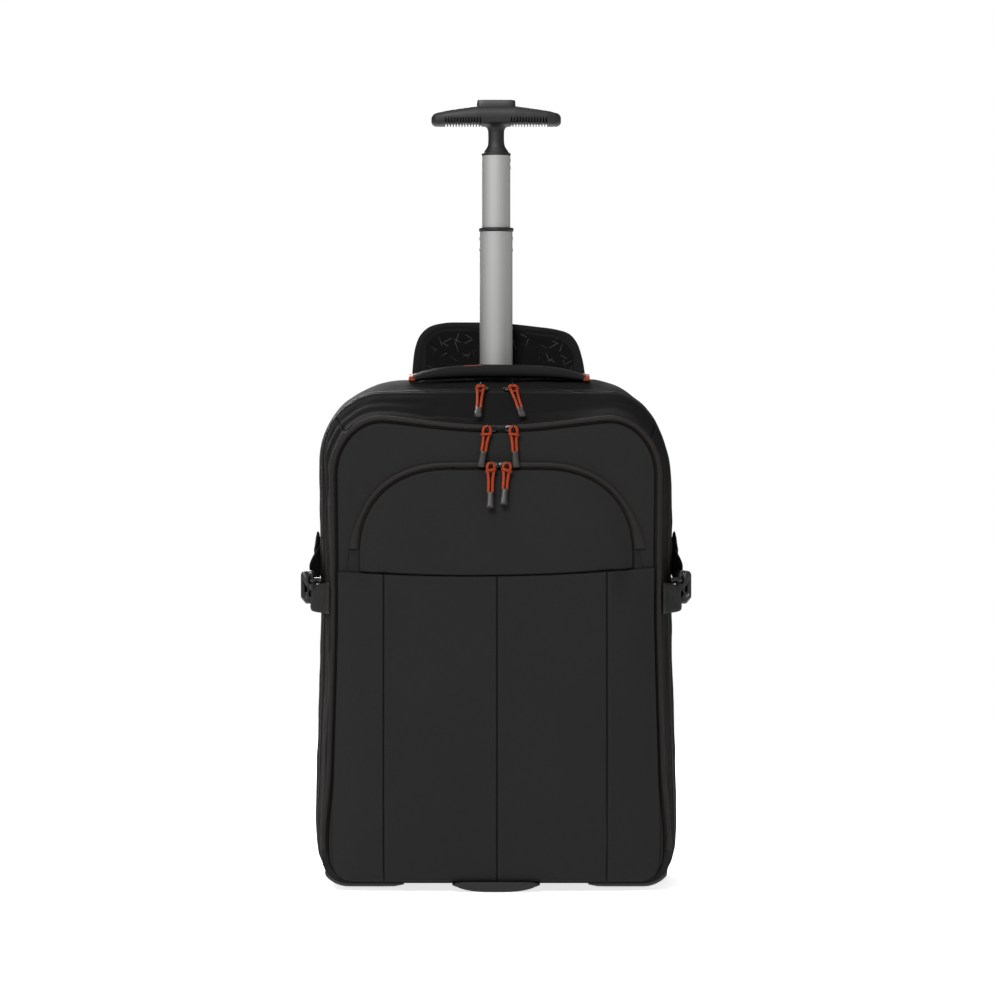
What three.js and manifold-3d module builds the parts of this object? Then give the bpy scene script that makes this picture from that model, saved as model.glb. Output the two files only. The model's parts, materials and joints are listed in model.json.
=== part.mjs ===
// Wheeled backpack with a single-pole trolley, in millimetres.
// +X is to the right seen from the front, +Y goes from the front to the wearer's back, +Z is up.
// While it is built, y = 0 is the plane of the main zip; the group is centred at the end.
import * as THREE from 'three';
import { mergeVertices } from 'three/addons/utils/BufferGeometryUtils.js';
import Module from 'manifold-3d';

const wasm = await Module();
wasm.setup();

// ---- Fits and walls
const FIT = 0.3;             // space between two pieces that rest on each other
const SLIDE_FIT = 0.5;       // space all round a telescopic stage
const AXLE_FIT = 0.5;        // radial space between an axle and its bore
const WALL = 2.5;            // lined cloth of the compartments
const PANEL = 2;             // cloth of the front panel and the pockets

// ---- Bag
const BODY_WIDTH = 350;
const BODY_HEIGHT = 487;
const BASE_Z = 7;            // underside of the bag above the floor
const FRONT_DEPTH = 60;      // front compartment, from its face to the main zip
const REAR_DEPTH = 120;      // rear compartment, from the main zip to the back
const ZIP_THICK = 1.6;
const ZIP_INSET = 0.2;       // how far a zip lies inside the bag's outline
const MAIN_ZIP_WIDTH = 7;
const MIDDLE_ZIP_WIDTH = 6.5;
const POCKET_ZIP_WIDTH = 6.5;
const POCKET_TAB = 12;       // width of the pocket zip at its two sewn ends
const PANEL_CROWN = 4;       // how far the front panel stands out of its zip
const POCKET_PUFF = 20;      // how far the filled pocket stands out of the panel
const SEAM_HIGH = 0.619;     // ends of the seam between the pocket's two halves, of BODY_HEIGHT
const SEAM_DIP = 6.4;
const SEAM_TILT = 1.9;
const POCKET_HIGH = 0.814;   // top of the pocket's arch, under its zip, of BODY_HEIGHT
const ARCH_HALF = 131;       // half width of the arch at its ends
const ARCH_FLAT = 42;        // half width of the arch's straight top
const ARCH_RISE = 84;
const POCKET_HALF = 149;     // half width of the lower half of the pocket
const POCKET_BASE = 10;      // lower edge of the pocket
const POCKET_CORNER = 24;

// ---- Trolley
const POLE_BACK = 25;        // from the outer back to the pole's axis
const LOWER_W = 33;
const LOWER_D = 24;
const UPPER_W = 28.5;
const UPPER_D = 19.5;
const TUBE_WALL = 1.5;
const GUIDE_WALL = 2;
const MOUTH_REACH = 20;      // how far the cut of the pole's mouth reaches above and below the top
const BEZEL_HEIGHT = 3;
const BEZEL_RIM = 6;
const LOWER_OUT = 145.9;     // lower tube outside the bag as it stands
const LOWER_LENGTH = 362;
const COLLAR_HEIGHT = 3.5;
const COLLAR_RIM = 1;
const UPPER_OUT = 73;        // upper tube outside the lower one as it stands
const UPPER_LENGTH = 330;
const GRIP_HALF = 65;
const GRIP_HEIGHT = 20;
const GRIP_DEPTH = 30;
const NECK_W = 17;
const NECK_HEIGHT = 29;      // from the tube's end to the underside of the bar
const BUTTON_W = 39;
const BUTTON_D = 16;
const BUTTON_RISE = 6;
const BUTTON_TRAVEL = 4;
const BUTTON_BODY = 4;       // what stays in the grip
const COMB_COUNT = 13;       // grooves on each side of the grip
const COMB_PITCH = 2.9;
const COMB_WIDTH = 1.3;
const COMB_START = 15.5;
const COMB_HEIGHT = 8;
const COMB_DEPTH = 3;

// ---- Wheels and feet
const WHEEL_R = 32;
const WHEEL_W = 22;
const WHEEL_INSET = 46;      // from the bag's side to the wheel's middle
const WHEEL_BACK = 15;       // from the outer back to the axle
const HUB_R = 21;
const AXLE_R = 4;
const HOUSING_WALL = 2.5;
const HOUSING_ROOM = 3;      // free space round the wheel
const FOOT_HALF = 41;
const FOOT_FLAT = 15;
const FOOT_DEPTH = 40;
const FOOT_AHEAD = 15;       // how far the foot stands in front of the panel's edge
const GUARD_THICK = 3;
const GUARD_INNER = 81;
const GUARD_DEPTH = 38;

// ---- Soft fittings
const HANDLE_HALF = 85;
const HANDLE_RISE = 7;
const HANDLE_THICK = 8;
const HANDLE_WIDTH = 30;
const HANDLE_Y = 50;
const FLAP_HALF = 87;
const FLAP_HEIGHT = 61.5;
const FLAP_THICK = 5;
const FLAP_BORDER = 9;
const LINING_THICK = 1.2;
const WEB = 25;              // webbing of the compression straps
const WEB_THICK = 1.6;
const BUCKLE_W = 32;
const BUCKLE_THICK = 14;
const BUCKLE_OFF = 4;        // how far the buckle stands off the bag's side
const SOCKET_LENGTH = 28;
const PRONG_BAR = 11;
const BUCKLE_Z = 289;
const BUCKLE_Y = 3;
const REAR_RUN = 44;         // the strap behind the buckle, from the socket to its sewn end
const REAR_RISE = 38;        // how far it climbs on the way
const FRONT_SEW = 8;         // sewn end of the front strap, behind the bag's front edge
const FRONT_DROP = 13;       // how far it falls on the way
const CORD_D = 2.7;          // orange pull cord
const CORD_SPREAD = 1.9;     // half the distance between its two strands
const CORD_LOOP = 3.3;
const CORD_REACH = 28;       // longest pull, from the slider to its end piece
const SLIDER_W = 7;
const SLIDER_L = 9;
const SLIDER_H = 3;
const BAIL_BAR = 1.2;
const END_W = 7;
const END_L = 15;
const END_THICK = 4.6;

// ---- Back
const PAD_HALF = 122;
const PAD_LOW = 92;
const PAD_HIGH = 452;
const PAD_THICK = 8;
const STRAP_W = 58;
const STRAP_THICK = 11;
const STRAP_X = 0.508;       // middle of a shoulder strap, of PAD_HALF
const STRAP_ARC = 22;        // how far the shoulder straps stand off the pad
const STRAP_DRIFT = 0.295;   // how far they run outwards on their way down, of PAD_HALF
const STRAP_INSET = 14;      // their sewn ends from the pad's ends
const SHOULDER_WEB = 25;

// Sections of the bag from its front edge to its back. at: share of FRONT_DEPTH before the main
// zip, or of REAR_DEPTH behind it. width, cornerW, baseR, flare: shares of BODY_WIDTH.
// top, cornerL, cornerR, sag, lift: shares of BODY_HEIGHT. The right shoulder slopes more.
const SECTIONS = [
  { at: -1.00, width: 0.912, top: 0.9205, cornerW: 0.143, cornerL: 0.120, cornerR: 0.120,
    baseR: 0.066, sag: 0.0188, flare: 0.036, lift: 0.000 },
  { at: -0.58, width: 0.932, top: 0.936, cornerW: 0.154, cornerL: 0.120, cornerR: 0.144,
    baseR: 0.071, sag: 0.010, flare: 0.024, lift: 0.000 },
  { at: 0.00, width: 0.966, top: 0.969, cornerW: 0.168, cornerL: 0.126, cornerR: 0.181,
    baseR: 0.077, sag: -0.006, flare: 0.010, lift: 0.000 },
  { at: 0.29, width: 0.997, top: 0.990, cornerW: 0.220, cornerL: 0.156, cornerR: 0.224,
    baseR: 0.083, sag: -0.002, flare: 0.000, lift: 0.000 },
  { at: 0.50, width: 1.000, top: 1.000, cornerW: 0.234, cornerL: 0.160, cornerR: 0.228,
    baseR: 0.083, sag: 0.000, flare: 0.000, lift: 0.000 },
  { at: 0.90, width: 0.994, top: 1.000, cornerW: 0.234, cornerL: 0.160, cornerR: 0.228,
    baseR: 0.083, sag: 0.000, flare: 0.000, lift: 0.000 },
  { at: 0.975, width: 0.977, top: 0.994, cornerW: 0.228, cornerL: 0.156, cornerR: 0.222,
    baseR: 0.080, sag: 0.000, flare: 0.000, lift: 0.003 },
  { at: 1.00, width: 0.943, top: 0.981, cornerW: 0.217, cornerL: 0.148, cornerR: 0.212,
    baseR: 0.074, sag: 0.000, flare: 0.000, lift: 0.012 },
];

// How much wider or narrower the sides stand over the height, as shares of the half width.
const SIDE_SWELL = [
  { height: 0.00, swell: 0.000 },
  { height: 0.08, swell: 0.020 },
  { height: 0.22, swell: 0.016 },
  { height: 0.38, swell: 0.000 },
  { height: 0.53, swell: -0.011 },
  { height: 0.68, swell: -0.006 },
  { height: 0.84, swell: 0.000 },
  { height: 1.00, swell: 0.000 },
];

// Fullness of the pocket over the height, as shares of POCKET_PUFF.
const POCKET_FULLNESS = [
  { height: 0.00, puff: 0.22 },
  { height: 0.03, puff: 0.62 },
  { height: 0.09, puff: 0.88 },
  { height: 0.22, puff: 1.00 },
  { height: 0.45, puff: 0.99 },
  { height: 0.60, puff: 0.93 },
  { height: 0.70, puff: 0.85 },
  { height: 0.80, puff: 0.66 },
  { height: 1.00, puff: 0.30 },
];

// The grip's bar from its middle to its tip. out: share of GRIP_HALF. high, deep: shares.
const GRIP_SECTIONS = [
  { out: 0.00, high: 1.00, deep: 1.00 },
  { out: 0.30, high: 1.00, deep: 1.00 },
  { out: 0.55, high: 0.89, deep: 0.95 },
  { out: 0.80, high: 0.77, deep: 0.87 },
  { out: 0.94, high: 0.66, deep: 0.74 },
  { out: 0.985, high: 0.50, deep: 0.56 },
  { out: 1.00, high: 0.30, deep: 0.34 },
];

// Zip pulls. zip: the zip that carries it. at: place on the zip, a share of BODY_WIDTH.
// swing: degrees sideways. reach: length of the two strands, a share of CORD_REACH.
const PULLS = [
  { name: 'a_left', zip: 'main', at: -0.043, swing: 2, reach: 0.89 },
  { name: 'a_right', zip: 'main', at: 0.046, swing: -12, reach: 0.89 },
  { name: 'b_left', zip: 'middle', at: -0.024, swing: 9, reach: 0.82 },
  { name: 'b_right', zip: 'middle', at: 0.047, swing: -4, reach: 0.82 },
  { name: 'c_left', zip: 'pocket', at: -0.014, swing: 1, reach: 1.00 },
  { name: 'c_right', zip: 'pocket', at: 0.030, swing: 5, reach: 0.89 },
];

// Outline of the flap from its left foot over the top to its right foot.
// across: share of FLAP_HALF. high: share of FLAP_HEIGHT.
const FLAP_LINE = [
  { across: -0.98, high: 0.00 },
  { across: -0.975, high: 0.16 },
  { across: -0.94, high: 0.58 },
  { across: -0.88, high: 0.79 },
  { across: -0.775, high: 0.925 },
  { across: -0.60, high: 0.99 },
  { across: -0.36, high: 1.00 },
  { across: 0.01, high: 0.99 },
  { across: 0.21, high: 0.97 },
  { across: 0.46, high: 0.93 },
  { across: 0.69, high: 0.885 },
  { across: 0.85, high: 0.81 },
  { across: 0.94, high: 0.66 },
  { across: 1.00, high: 0.41 },
  { across: 1.03, high: 0.16 },
  { across: 1.035, high: 0.00 },
];

const COLOURS = {
  cloth: [0x2f3031, 0.85, 0],
  clothDark: [0x242526, 0.85, 0],
  zip: [0x2a2320, 0.7, 0],
  web: [0x1c1c1d, 0.8, 0],
  plastic: [0x1b1c1d, 0.45, 0],
  rubber: [0x191919, 0.9, 0],
  metal: [0xa4a5a6, 0.32, 1],
  cord: [0xd2552a, 0.75, 0],
  lining: [0x1d1d1f, 0.6, 0],
};

const SEAM_Z = BASE_Z + SEAM_HIGH * BODY_HEIGHT;
const POCKET_TOP = BASE_Z + POCKET_HIGH * BODY_HEIGHT;
const POLE_Y = REAR_DEPTH - POLE_BACK;
const WHEEL_X = BODY_WIDTH / 2 - WHEEL_INSET;
const TOP_Z = BASE_Z + BODY_HEIGHT;
const PANEL_Y = -FRONT_DEPTH - FIT;              // face of the front compartment's edge

// Straight interpolation of a table's columns at a value of its key column.
function lookup(table, key, value) {
  const last = table.length - 1;
  const rows = table.map((row) => row[key]);
  const at = THREE.MathUtils.clamp(value, rows[0], rows[last]);
  let i = 0;
  while (i < last - 1 && at > rows[i + 1]) i += 1;
  const t = (at - rows[i]) / (rows[i + 1] - rows[i]);
  const out = {};
  for (const column of Object.keys(table[i])) {
    out[column] = THREE.MathUtils.lerp(table[i][column], table[i + 1][column], t);
  }
  return out;
}

function sectionAt(y) {
  return lookup(SECTIONS, 'at', y < 0 ? y / FRONT_DEPTH : y / REAR_DEPTH);
}

function swell(z, flare) {
  const height = (z - BASE_Z) / BODY_HEIGHT;
  const low = 1 - THREE.MathUtils.smoothstep(height, 0.06, 0.24);
  return 1 + lookup(SIDE_SWELL, 'height', height).swell + flare * low;
}

// Outline of the bag at a depth y, moved inwards by inset: 44 points anticlockwise from the
// middle of the base, seen from the front.
function outline(y, inset = 0) {
  const s = sectionAt(y);
  const half = s.width * BODY_WIDTH / 2 - inset;
  const base = BASE_Z + s.lift * BODY_HEIGHT + inset;
  const top = BASE_Z + s.top * BODY_HEIGHT - inset;
  const baseR = s.baseR * BODY_WIDTH - inset;
  const cornerW = s.cornerW * BODY_WIDTH - inset;
  const flat = half - cornerW;
  const sag = s.sag * BODY_HEIGHT;
  const walk = (corner) => {
    const points = [];
    for (let i = 0; i < 3; i += 1) {
      points.push([(half - baseR) * i / 3, base]);
    }
    for (let i = 0; i < 3; i += 1) {
      const a = i / 3 * Math.PI / 2;
      points.push([half - baseR + baseR * Math.sin(a), base + baseR * (1 - Math.cos(a))]);
    }
    for (let i = 0; i < 6; i += 1) {
      points.push([half, THREE.MathUtils.lerp(base + baseR, top - corner, i / 6)]);
    }
    for (let i = 0; i < 6; i += 1) {
      const a = i / 6 * Math.PI / 2;
      points.push([flat + cornerW * Math.cos(a), top - corner + corner * Math.sin(a)]);
    }
    for (let i = 0; i <= 4; i += 1) {
      const u = 1 - i / 4;
      points.push([flat * u, top - sag * (1 - u * u)]);
    }
    return points;
  };
  const right = walk(s.cornerR * BODY_HEIGHT - inset);
  const left = walk(s.cornerL * BODY_HEIGHT - inset).reverse().slice(1, -1);
  const points = [...right, ...left.map(([x, z]) => [-x, z])];
  return points.map(([x, z]) => new THREE.Vector3(x * swell(z, s.flare), y, z));
}

// Half width of the bag's right side at a depth and a height.
function sideX(y, z) {
  const s = sectionAt(y);
  return s.width * BODY_WIDTH / 2 * swell(z, s.flare);
}

function signedVolume(geometry) {
  const p = geometry.attributes.position;
  const index = geometry.index;
  const [a, b, c] = [new THREE.Vector3(), new THREE.Vector3(), new THREE.Vector3()];
  let sum = 0;
  for (let i = 0; i < index.count; i += 3) {
    a.fromBufferAttribute(p, index.getX(i));
    b.fromBufferAttribute(p, index.getX(i + 1));
    c.fromBufferAttribute(p, index.getX(i + 2));
    sum += a.dot(b.cross(c)) / 6;
  }
  return sum;
}

function flipped(geometry) {
  const index = geometry.index;
  for (let i = 0; i < index.count; i += 3) {
    const keep = index.getX(i + 1);
    index.setX(i + 1, index.getX(i + 2));
    index.setX(i + 2, keep);
  }
  return geometry;
}

// Triangles over a ring that bounds one end of a solid, wound as the ring runs.
function capTriangles(ring) {
  const normal = new THREE.Vector3();
  ring.forEach((p, i) => {
    const q = ring[(i + 1) % ring.length];
    normal.add(new THREE.Vector3().crossVectors(p, q));
  });
  normal.normalize();
  const across = new THREE.Vector3(0, 0, 1).cross(normal);
  if (across.length() < 0.1) across.set(0, 1, 0).cross(normal);
  across.normalize();
  const up = new THREE.Vector3().crossVectors(normal, across);
  const flat = ring.map((p) => new THREE.Vector2(p.dot(across), p.dot(up)));
  return THREE.ShapeUtils.triangulateShape(flat, []).map(([a, b, c]) => {
    const turn = (flat[b].x - flat[a].x) * (flat[c].y - flat[a].y)
      - (flat[b].y - flat[a].y) * (flat[c].x - flat[a].x);
    return turn > 0 ? [a, b, c] : [a, c, b];
  });
}

// Triangles over a ring that runs along a front row and back along a rear row.
function pairedTriangles(ring) {
  const last = ring.length - 1;
  const triangles = [];
  for (let i = 0; i < (last - 1) / 2; i += 1) {
    triangles.push([i, i + 1, last - 1 - i], [i, last - 1 - i, last - i]);
  }
  return triangles;
}

// A closed solid through rings of equally many points. Open ends are closed by cap; with loop
// the last ring meets the first.
function skin(rings, loop = false, cap = capTriangles) {
  const count = rings[0].length;
  const points = rings.flat();
  const index = [];
  const strips = loop ? rings.length : rings.length - 1;
  for (let i = 0; i < strips; i += 1) {
    const a = i * count;
    const b = ((i + 1) % rings.length) * count;
    for (let j = 0; j < count; j += 1) {
      const k = (j + 1) % count;
      index.push(a + j, b + j, b + k, a + j, b + k, a + k);
    }
  }
  if (!loop) {
    const start = points.length - count;
    for (const [a, b, c] of cap(rings[0])) index.push(a, b, c);
    for (const [a, b, c] of cap(rings.at(-1))) index.push(start + a, start + c, start + b);
  }
  const geometry = new THREE.BufferGeometry();
  const flat = new Float32Array(points.flatMap((p) => [p.x, p.y, p.z]));
  geometry.setAttribute('position', new THREE.BufferAttribute(flat, 3));
  geometry.setIndex(index);
  return signedVolume(geometry) < 0 ? flipped(geometry) : geometry;
}

// A sheet of cloth of a set thickness over a grid of front points, thickened towards +Y.
function cloth(columns, rows, front, thick) {
  const ring = (j, back) => {
    const points = [];
    for (let i = 0; i <= columns; i += 1) {
      const p = front(-1 + 2 * i / columns, j / rows);
      p.y += back;
      points.push(p);
    }
    return points;
  };
  const rings = [];
  for (let j = 0; j <= rows; j += 1) {
    rings.push([...ring(j, 0), ...ring(j, thick).reverse()]);
  }
  return skin(rings, false, pairedTriangles);
}

// A band with a rectangular section along a path. across and out give its width and thickness.
function band(stations) {
  const rings = stations.map(({ at, across, out, width, thick }) => {
    const w = across.clone().multiplyScalar(width / 2);
    const t = out.clone().multiplyScalar(thick);
    return [
      at.clone().sub(w),
      at.clone().add(w),
      at.clone().add(w).add(t),
      at.clone().sub(w).add(t),
    ];
  });
  return skin(rings);
}

function solid(geometry) {
  const bare = geometry.clone();
  bare.deleteAttribute('normal');
  bare.deleteAttribute('uv');
  const merged = mergeVertices(bare, 1e-4);
  return new wasm.Manifold(new wasm.Mesh({
    numProp: 3,
    vertProperties: new Float32Array(merged.attributes.position.array),
    triVerts: new Uint32Array(merged.index.array),
  }));
}

function geometryOf(manifold) {
  const mesh = manifold.getMesh();
  const geometry = new THREE.BufferGeometry();
  geometry.setAttribute('position', new THREE.BufferAttribute(mesh.vertProperties, 3));
  geometry.setIndex(new THREE.BufferAttribute(mesh.triVerts, 1));
  return geometry;
}

function cut(geometry, ...tools) {
  return geometryOf(tools.reduce((body, tool) => body.subtract(solid(tool)), solid(geometry)));
}

function join(geometry, ...more) {
  return geometryOf(more.reduce((body, other) => body.add(solid(other)), solid(geometry)));
}

function mirrored(geometry) {
  const copy = geometry.index ? geometry.clone() : mergeVertices(geometry.clone());
  copy.scale(-1, 1, 1);
  return flipped(copy);
}

function box(x0, x1, y0, y1, z0, z1) {
  const geometry = new THREE.BoxGeometry(x1 - x0, y1 - y0, z1 - z0);
  return geometry.translate((x0 + x1) / 2, (y0 + y1) / 2, (z0 + z1) / 2);
}

// An upright prism over an oval, with an optional oval hole, from z0 to z1 about the pole.
function ovalTube(width, depth, z0, z1, holeW = 0, holeD = 0) {
  const shape = new THREE.Shape();
  shape.absellipse(0, 0, width / 2, depth / 2, 0, 2 * Math.PI);
  if (holeW) {
    const hole = new THREE.Path();
    hole.absellipse(0, 0, holeW / 2, holeD / 2, 0, 2 * Math.PI);
    shape.holes.push(hole);
  }
  const options = { depth: z1 - z0, bevelEnabled: false, curveSegments: 12 };
  return new THREE.ExtrudeGeometry(shape, options).translate(0, POLE_Y, z0);
}

// A prism over an outline in the y-z plane, from x0 to x1.
function sidePrism(points, x0, x1) {
  const shape = new THREE.Shape(points.map(([y, z]) => new THREE.Vector2(y, z)));
  const geometry = new THREE.ExtrudeGeometry(shape, { depth: x1 - x0, bevelEnabled: false });
  // the outline's axes become y and z, and its depth becomes x
  geometry.applyMatrix4(new THREE.Matrix4().set(0, 0, 1, x0, 1, 0, 0, 0, 0, 1, 0, 0, 0, 0, 0, 1));
  return geometry;
}

const bag = new THREE.Group();

function add(name, finish, geometry) {
  const [color, roughness, metalness] = COLOURS[finish];
  const material = new THREE.MeshStandardMaterial({ color, roughness, metalness });
  const mesh = new THREE.Mesh(geometry, material);
  mesh.name = name;
  bag.add(mesh);
  return mesh;
}

function addPair(name, finish, geometry) {
  add(`${name}_right`, finish, geometry);
  add(`${name}_left`, finish, mirrored(geometry));
}

// ---- Wheel housings: an arch over each wheel with a fixed axle, open below and behind.
const WHEEL_Y = REAR_DEPTH - WHEEL_BACK;
const ROOM_R = WHEEL_R + HOUSING_ROOM;
const HOUSING_R = ROOM_R + HOUSING_WALL;
const HOUSING_HALF = WHEEL_W / 2 + HOUSING_ROOM / 2 + HOUSING_WALL;

function archProfile(radius, low, rear) {
  const points = [[WHEEL_Y - radius, low]];
  const end = Math.acos(Math.min(1, (rear - WHEEL_Y) / radius));
  for (let i = 0; i <= 12; i += 1) {
    const a = THREE.MathUtils.lerp(Math.PI, end, i / 12);
    points.push([WHEEL_Y + radius * Math.cos(a), WHEEL_R + radius * Math.sin(a)]);
  }
  points.push([rear, low]);
  return points;
}

const housingOuter = sidePrism(
  archProfile(HOUSING_R, BASE_Z, REAR_DEPTH + HOUSING_WALL),
  WHEEL_X - HOUSING_HALF,
  WHEEL_X + HOUSING_HALF,
);
const housingRoom = sidePrism(
  archProfile(ROOM_R, BASE_Z - 1, REAR_DEPTH + HOUSING_WALL + 1),
  WHEEL_X - HOUSING_HALF + HOUSING_WALL,
  WHEEL_X + HOUSING_HALF - HOUSING_WALL,
);
const axle = new THREE.CylinderGeometry(AXLE_R, AXLE_R, 2 * HOUSING_HALF - 1, 12);
axle.rotateZ(Math.PI / 2).translate(WHEEL_X, WHEEL_Y, WHEEL_R);
const housing = join(cut(housingOuter, housingRoom), axle);
const wellCut = sidePrism(
  archProfile(HOUSING_R + FIT, -1, REAR_DEPTH + 10),
  WHEEL_X - HOUSING_HALF - FIT,
  WHEEL_X + HOUSING_HALF + FIT,
);

// ---- Rear compartment: a tray open to the front, with the pole's mouth and the wheel wells.
const MAIN_EDGE = MAIN_ZIP_WIDTH / 2 + FIT;
const rearStations = [MAIN_EDGE, 0.29 * REAR_DEPTH, 0.5 * REAR_DEPTH, 0.9 * REAR_DEPTH];
const rearTray = skin([
  outline(REAR_DEPTH - WALL, WALL),
  ...rearStations.toReversed().map((y) => outline(y, WALL)),
  ...rearStations.map((y) => outline(y)),
  outline(0.975 * REAR_DEPTH),
  outline(REAR_DEPTH),
]);
const GUIDE_W = LOWER_W + 2 * SLIDE_FIT + 2 * GUIDE_WALL;
const GUIDE_D = LOWER_D + 2 * SLIDE_FIT + 2 * GUIDE_WALL;
const mouth = ovalTube(
  GUIDE_W + 2 * FIT, GUIDE_D + 2 * FIT, TOP_Z - MOUTH_REACH, TOP_Z + MOUTH_REACH,
);
add('rear_shell', 'clothDark', cut(rearTray, mouth, wellCut, mirrored(wellCut)));
addPair('wheel_housing', 'plastic', housing);

// ---- Front compartment: a tray open to the front, closed by the front panel.
const frontStations = [-MAIN_EDGE - WALL, -0.58 * FRONT_DEPTH, -FRONT_DEPTH];
add('middle_shell', 'clothDark', skin([
  ...frontStations.map((y) => outline(y, WALL)),
  ...frontStations.slice(1).toReversed().map((y) => outline(y)),
  outline(-MAIN_EDGE),
]));

// ---- Zips that run round the bag: flat closed bands.
const mainHalf = MAIN_ZIP_WIDTH / 2;
add('main_zip', 'zip', skin([
  outline(-mainHalf, ZIP_INSET),
  outline(mainHalf, ZIP_INSET),
  outline(mainHalf, ZIP_INSET + ZIP_THICK),
  outline(-mainHalf, ZIP_INSET + ZIP_THICK),
], true));

function atY(ring, y) {
  return ring.map((p) => new THREE.Vector3(p.x, y, p.z));
}

const zipOuter = outline(-FRONT_DEPTH, ZIP_INSET);
const zipInner = outline(-FRONT_DEPTH, ZIP_INSET + MIDDLE_ZIP_WIDTH);
add('middle_zip', 'zip', skin([
  atY(zipOuter, PANEL_Y - ZIP_THICK),
  atY(zipInner, PANEL_Y - ZIP_THICK),
  atY(zipInner, PANEL_Y),
  atY(zipOuter, PANEL_Y),
], true));

// ---- Front panel: a crowned lid inside the middle zip.
const panelRim = outline(-FRONT_DEPTH, ZIP_INSET + MIDDLE_ZIP_WIDTH + FIT);
const panelMiddle = (BASE_Z + TOP_Z) / 2;

function shrunk(ring, share, y) {
  return ring.map((p) => new THREE.Vector3(
    p.x * share,
    y,
    panelMiddle + (p.z - panelMiddle) * share,
  ));
}

const panelFace = PANEL_Y - PANEL_CROWN;
add('front_panel', 'cloth', skin([
  shrunk(panelRim, 0.9, panelFace + PANEL),
  shrunk(panelRim, 1, PANEL_Y + PANEL - ZIP_THICK),
  shrunk(panelRim, 1, PANEL_Y - ZIP_THICK),
  shrunk(panelRim, 0.975, PANEL_Y - 0.8 * PANEL_CROWN),
  shrunk(panelRim, 0.9, panelFace),
]));

// ---- Front pocket: an arched upper half and a lower half that meet at a seam.
const POCKET_Y = panelFace - FIT - PANEL;        // face of the pocket's rim

function seamZ(x) {
  const u = x / POCKET_HALF;
  return SEAM_Z - SEAM_DIP * (1 - u * u) + SEAM_TILT * u;
}

function puffAt(z) {
  const height = (z - POCKET_BASE) / (POCKET_TOP - POCKET_BASE);
  return POCKET_PUFF * lookup(POCKET_FULLNESS, 'height', height).puff;
}

// Half width of the arch at a height: straight at its foot, an ellipse above.
function archHalf(z, grow = 0) {
  const foot = POCKET_TOP - ARCH_RISE;
  const rise = THREE.MathUtils.clamp((z - foot) / (ARCH_RISE + grow), 0, 1);
  const round = (1 - rise ** 2.3) ** (1 / 2.3);
  return ARCH_FLAT + (ARCH_HALF + grow - ARCH_FLAT) * round;
}

add('upper_pocket', 'cloth', cloth(12, 9, (u, v) => {
  const t = 1 - (1 - v) ** 1.6;
  const low = seamZ(u * ARCH_HALF) + FIT;
  const z = THREE.MathUtils.lerp(low, POCKET_TOP, t);
  const edge = (1 - Math.abs(u) ** 7) * (1 - t ** 7);
  return new THREE.Vector3(u * archHalf(z), POCKET_Y - puffAt(z) * edge, z);
}, PANEL));

// Half width of the lower half: rounded at the base and a little wider there.
function lowerHalf(z) {
  const down = Math.max(0, POCKET_CORNER - (z - POCKET_BASE));
  const round = POCKET_CORNER - Math.sqrt(Math.max(0, POCKET_CORNER ** 2 - down ** 2));
  return POCKET_HALF * swell(z, SECTIONS[0].flare) - round;
}

add('lower_pocket', 'cloth', cloth(14, 10, (u, v) => {
  const t = v < 0.5 ? 2 * v * v : v;
  const z = THREE.MathUtils.lerp(POCKET_BASE, seamZ(u * POCKET_HALF) - FIT, t);
  const edge = 1 - Math.abs(u) ** 7;
  return new THREE.Vector3(u * lowerHalf(z), POCKET_Y - puffAt(z) * edge, z);
}, PANEL));

// The pocket zip follows the arch on the front panel and widens into a tab at each end.
function archZip() {
  const mid = POCKET_ZIP_WIDTH / 2 + FIT;
  const foot = POCKET_TOP - ARCH_RISE;
  const path = [];
  for (let i = 0; i <= 12; i += 1) {
    const a = i / 12 * Math.PI / 2;
    const c = Math.cos(a) ** (2 / 2.3);
    const s = Math.sin(a) ** (2 / 2.3);
    path.push([ARCH_FLAT + (ARCH_HALF + mid - ARCH_FLAT) * c, foot + (ARCH_RISE + mid) * s]);
  }
  path.push([0, POCKET_TOP + mid]);
  const whole = [...path, ...path.slice(0, -1).reverse().map(([x, z]) => [-x, z])];
  const last = whole.length - 1;
  const rings = whole.map(([x, z], i) => {
    const before = whole[Math.max(0, i - 1)];
    const after = whole[Math.min(last, i + 1)];
    const run = new THREE.Vector2(after[0] - before[0], after[1] - before[1]).normalize();
    const near = Math.min(i, last - i);
    const outer = POCKET_ZIP_WIDTH / 2 + (near === 0 ? POCKET_TAB - POCKET_ZIP_WIDTH : 0);
    const at = (side, y) => new THREE.Vector3(x + run.y * side, y, z - run.x * side);
    const y = panelFace - FIT;
    return [
      at(outer, y),
      at(-POCKET_ZIP_WIDTH / 2, y),
      at(-POCKET_ZIP_WIDTH / 2, y - ZIP_THICK),
      at(outer, y - ZIP_THICK),
    ];
  });
  return skin(rings);
}
add('pocket_zip', 'zip', archZip());

// ---- Zip pulls: a slider with a bail, a cord doubled round the bail, and a soft end.
// They are built hanging down -Z from the slider, with -Y out of the cloth.
const CORD_OUT = SLIDER_H + FIT + CORD_D / 2;

function sliderShape() {
  const body = box(-SLIDER_W / 2, SLIDER_W / 2, -SLIDER_H, 0, -SLIDER_L / 2, SLIDER_L / 2);
  const high = CORD_OUT + CORD_D / 2 + FIT;
  const half = SLIDER_L / 2 - 0.4;
  const inner = half - BAIL_BAR;
  const bail = sidePrism([
    [-SLIDER_H + 0.5, -half],
    [-high - BAIL_BAR, -half],
    [-high - BAIL_BAR, half],
    [-SLIDER_H + 0.5, half],
    [-SLIDER_H + 0.5, inner],
    [-high, inner],
    [-high, -inner],
    [-SLIDER_H + 0.5, -inner],
  ], -BAIL_BAR / 2, BAIL_BAR / 2);
  return join(body, bail);
}

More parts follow.
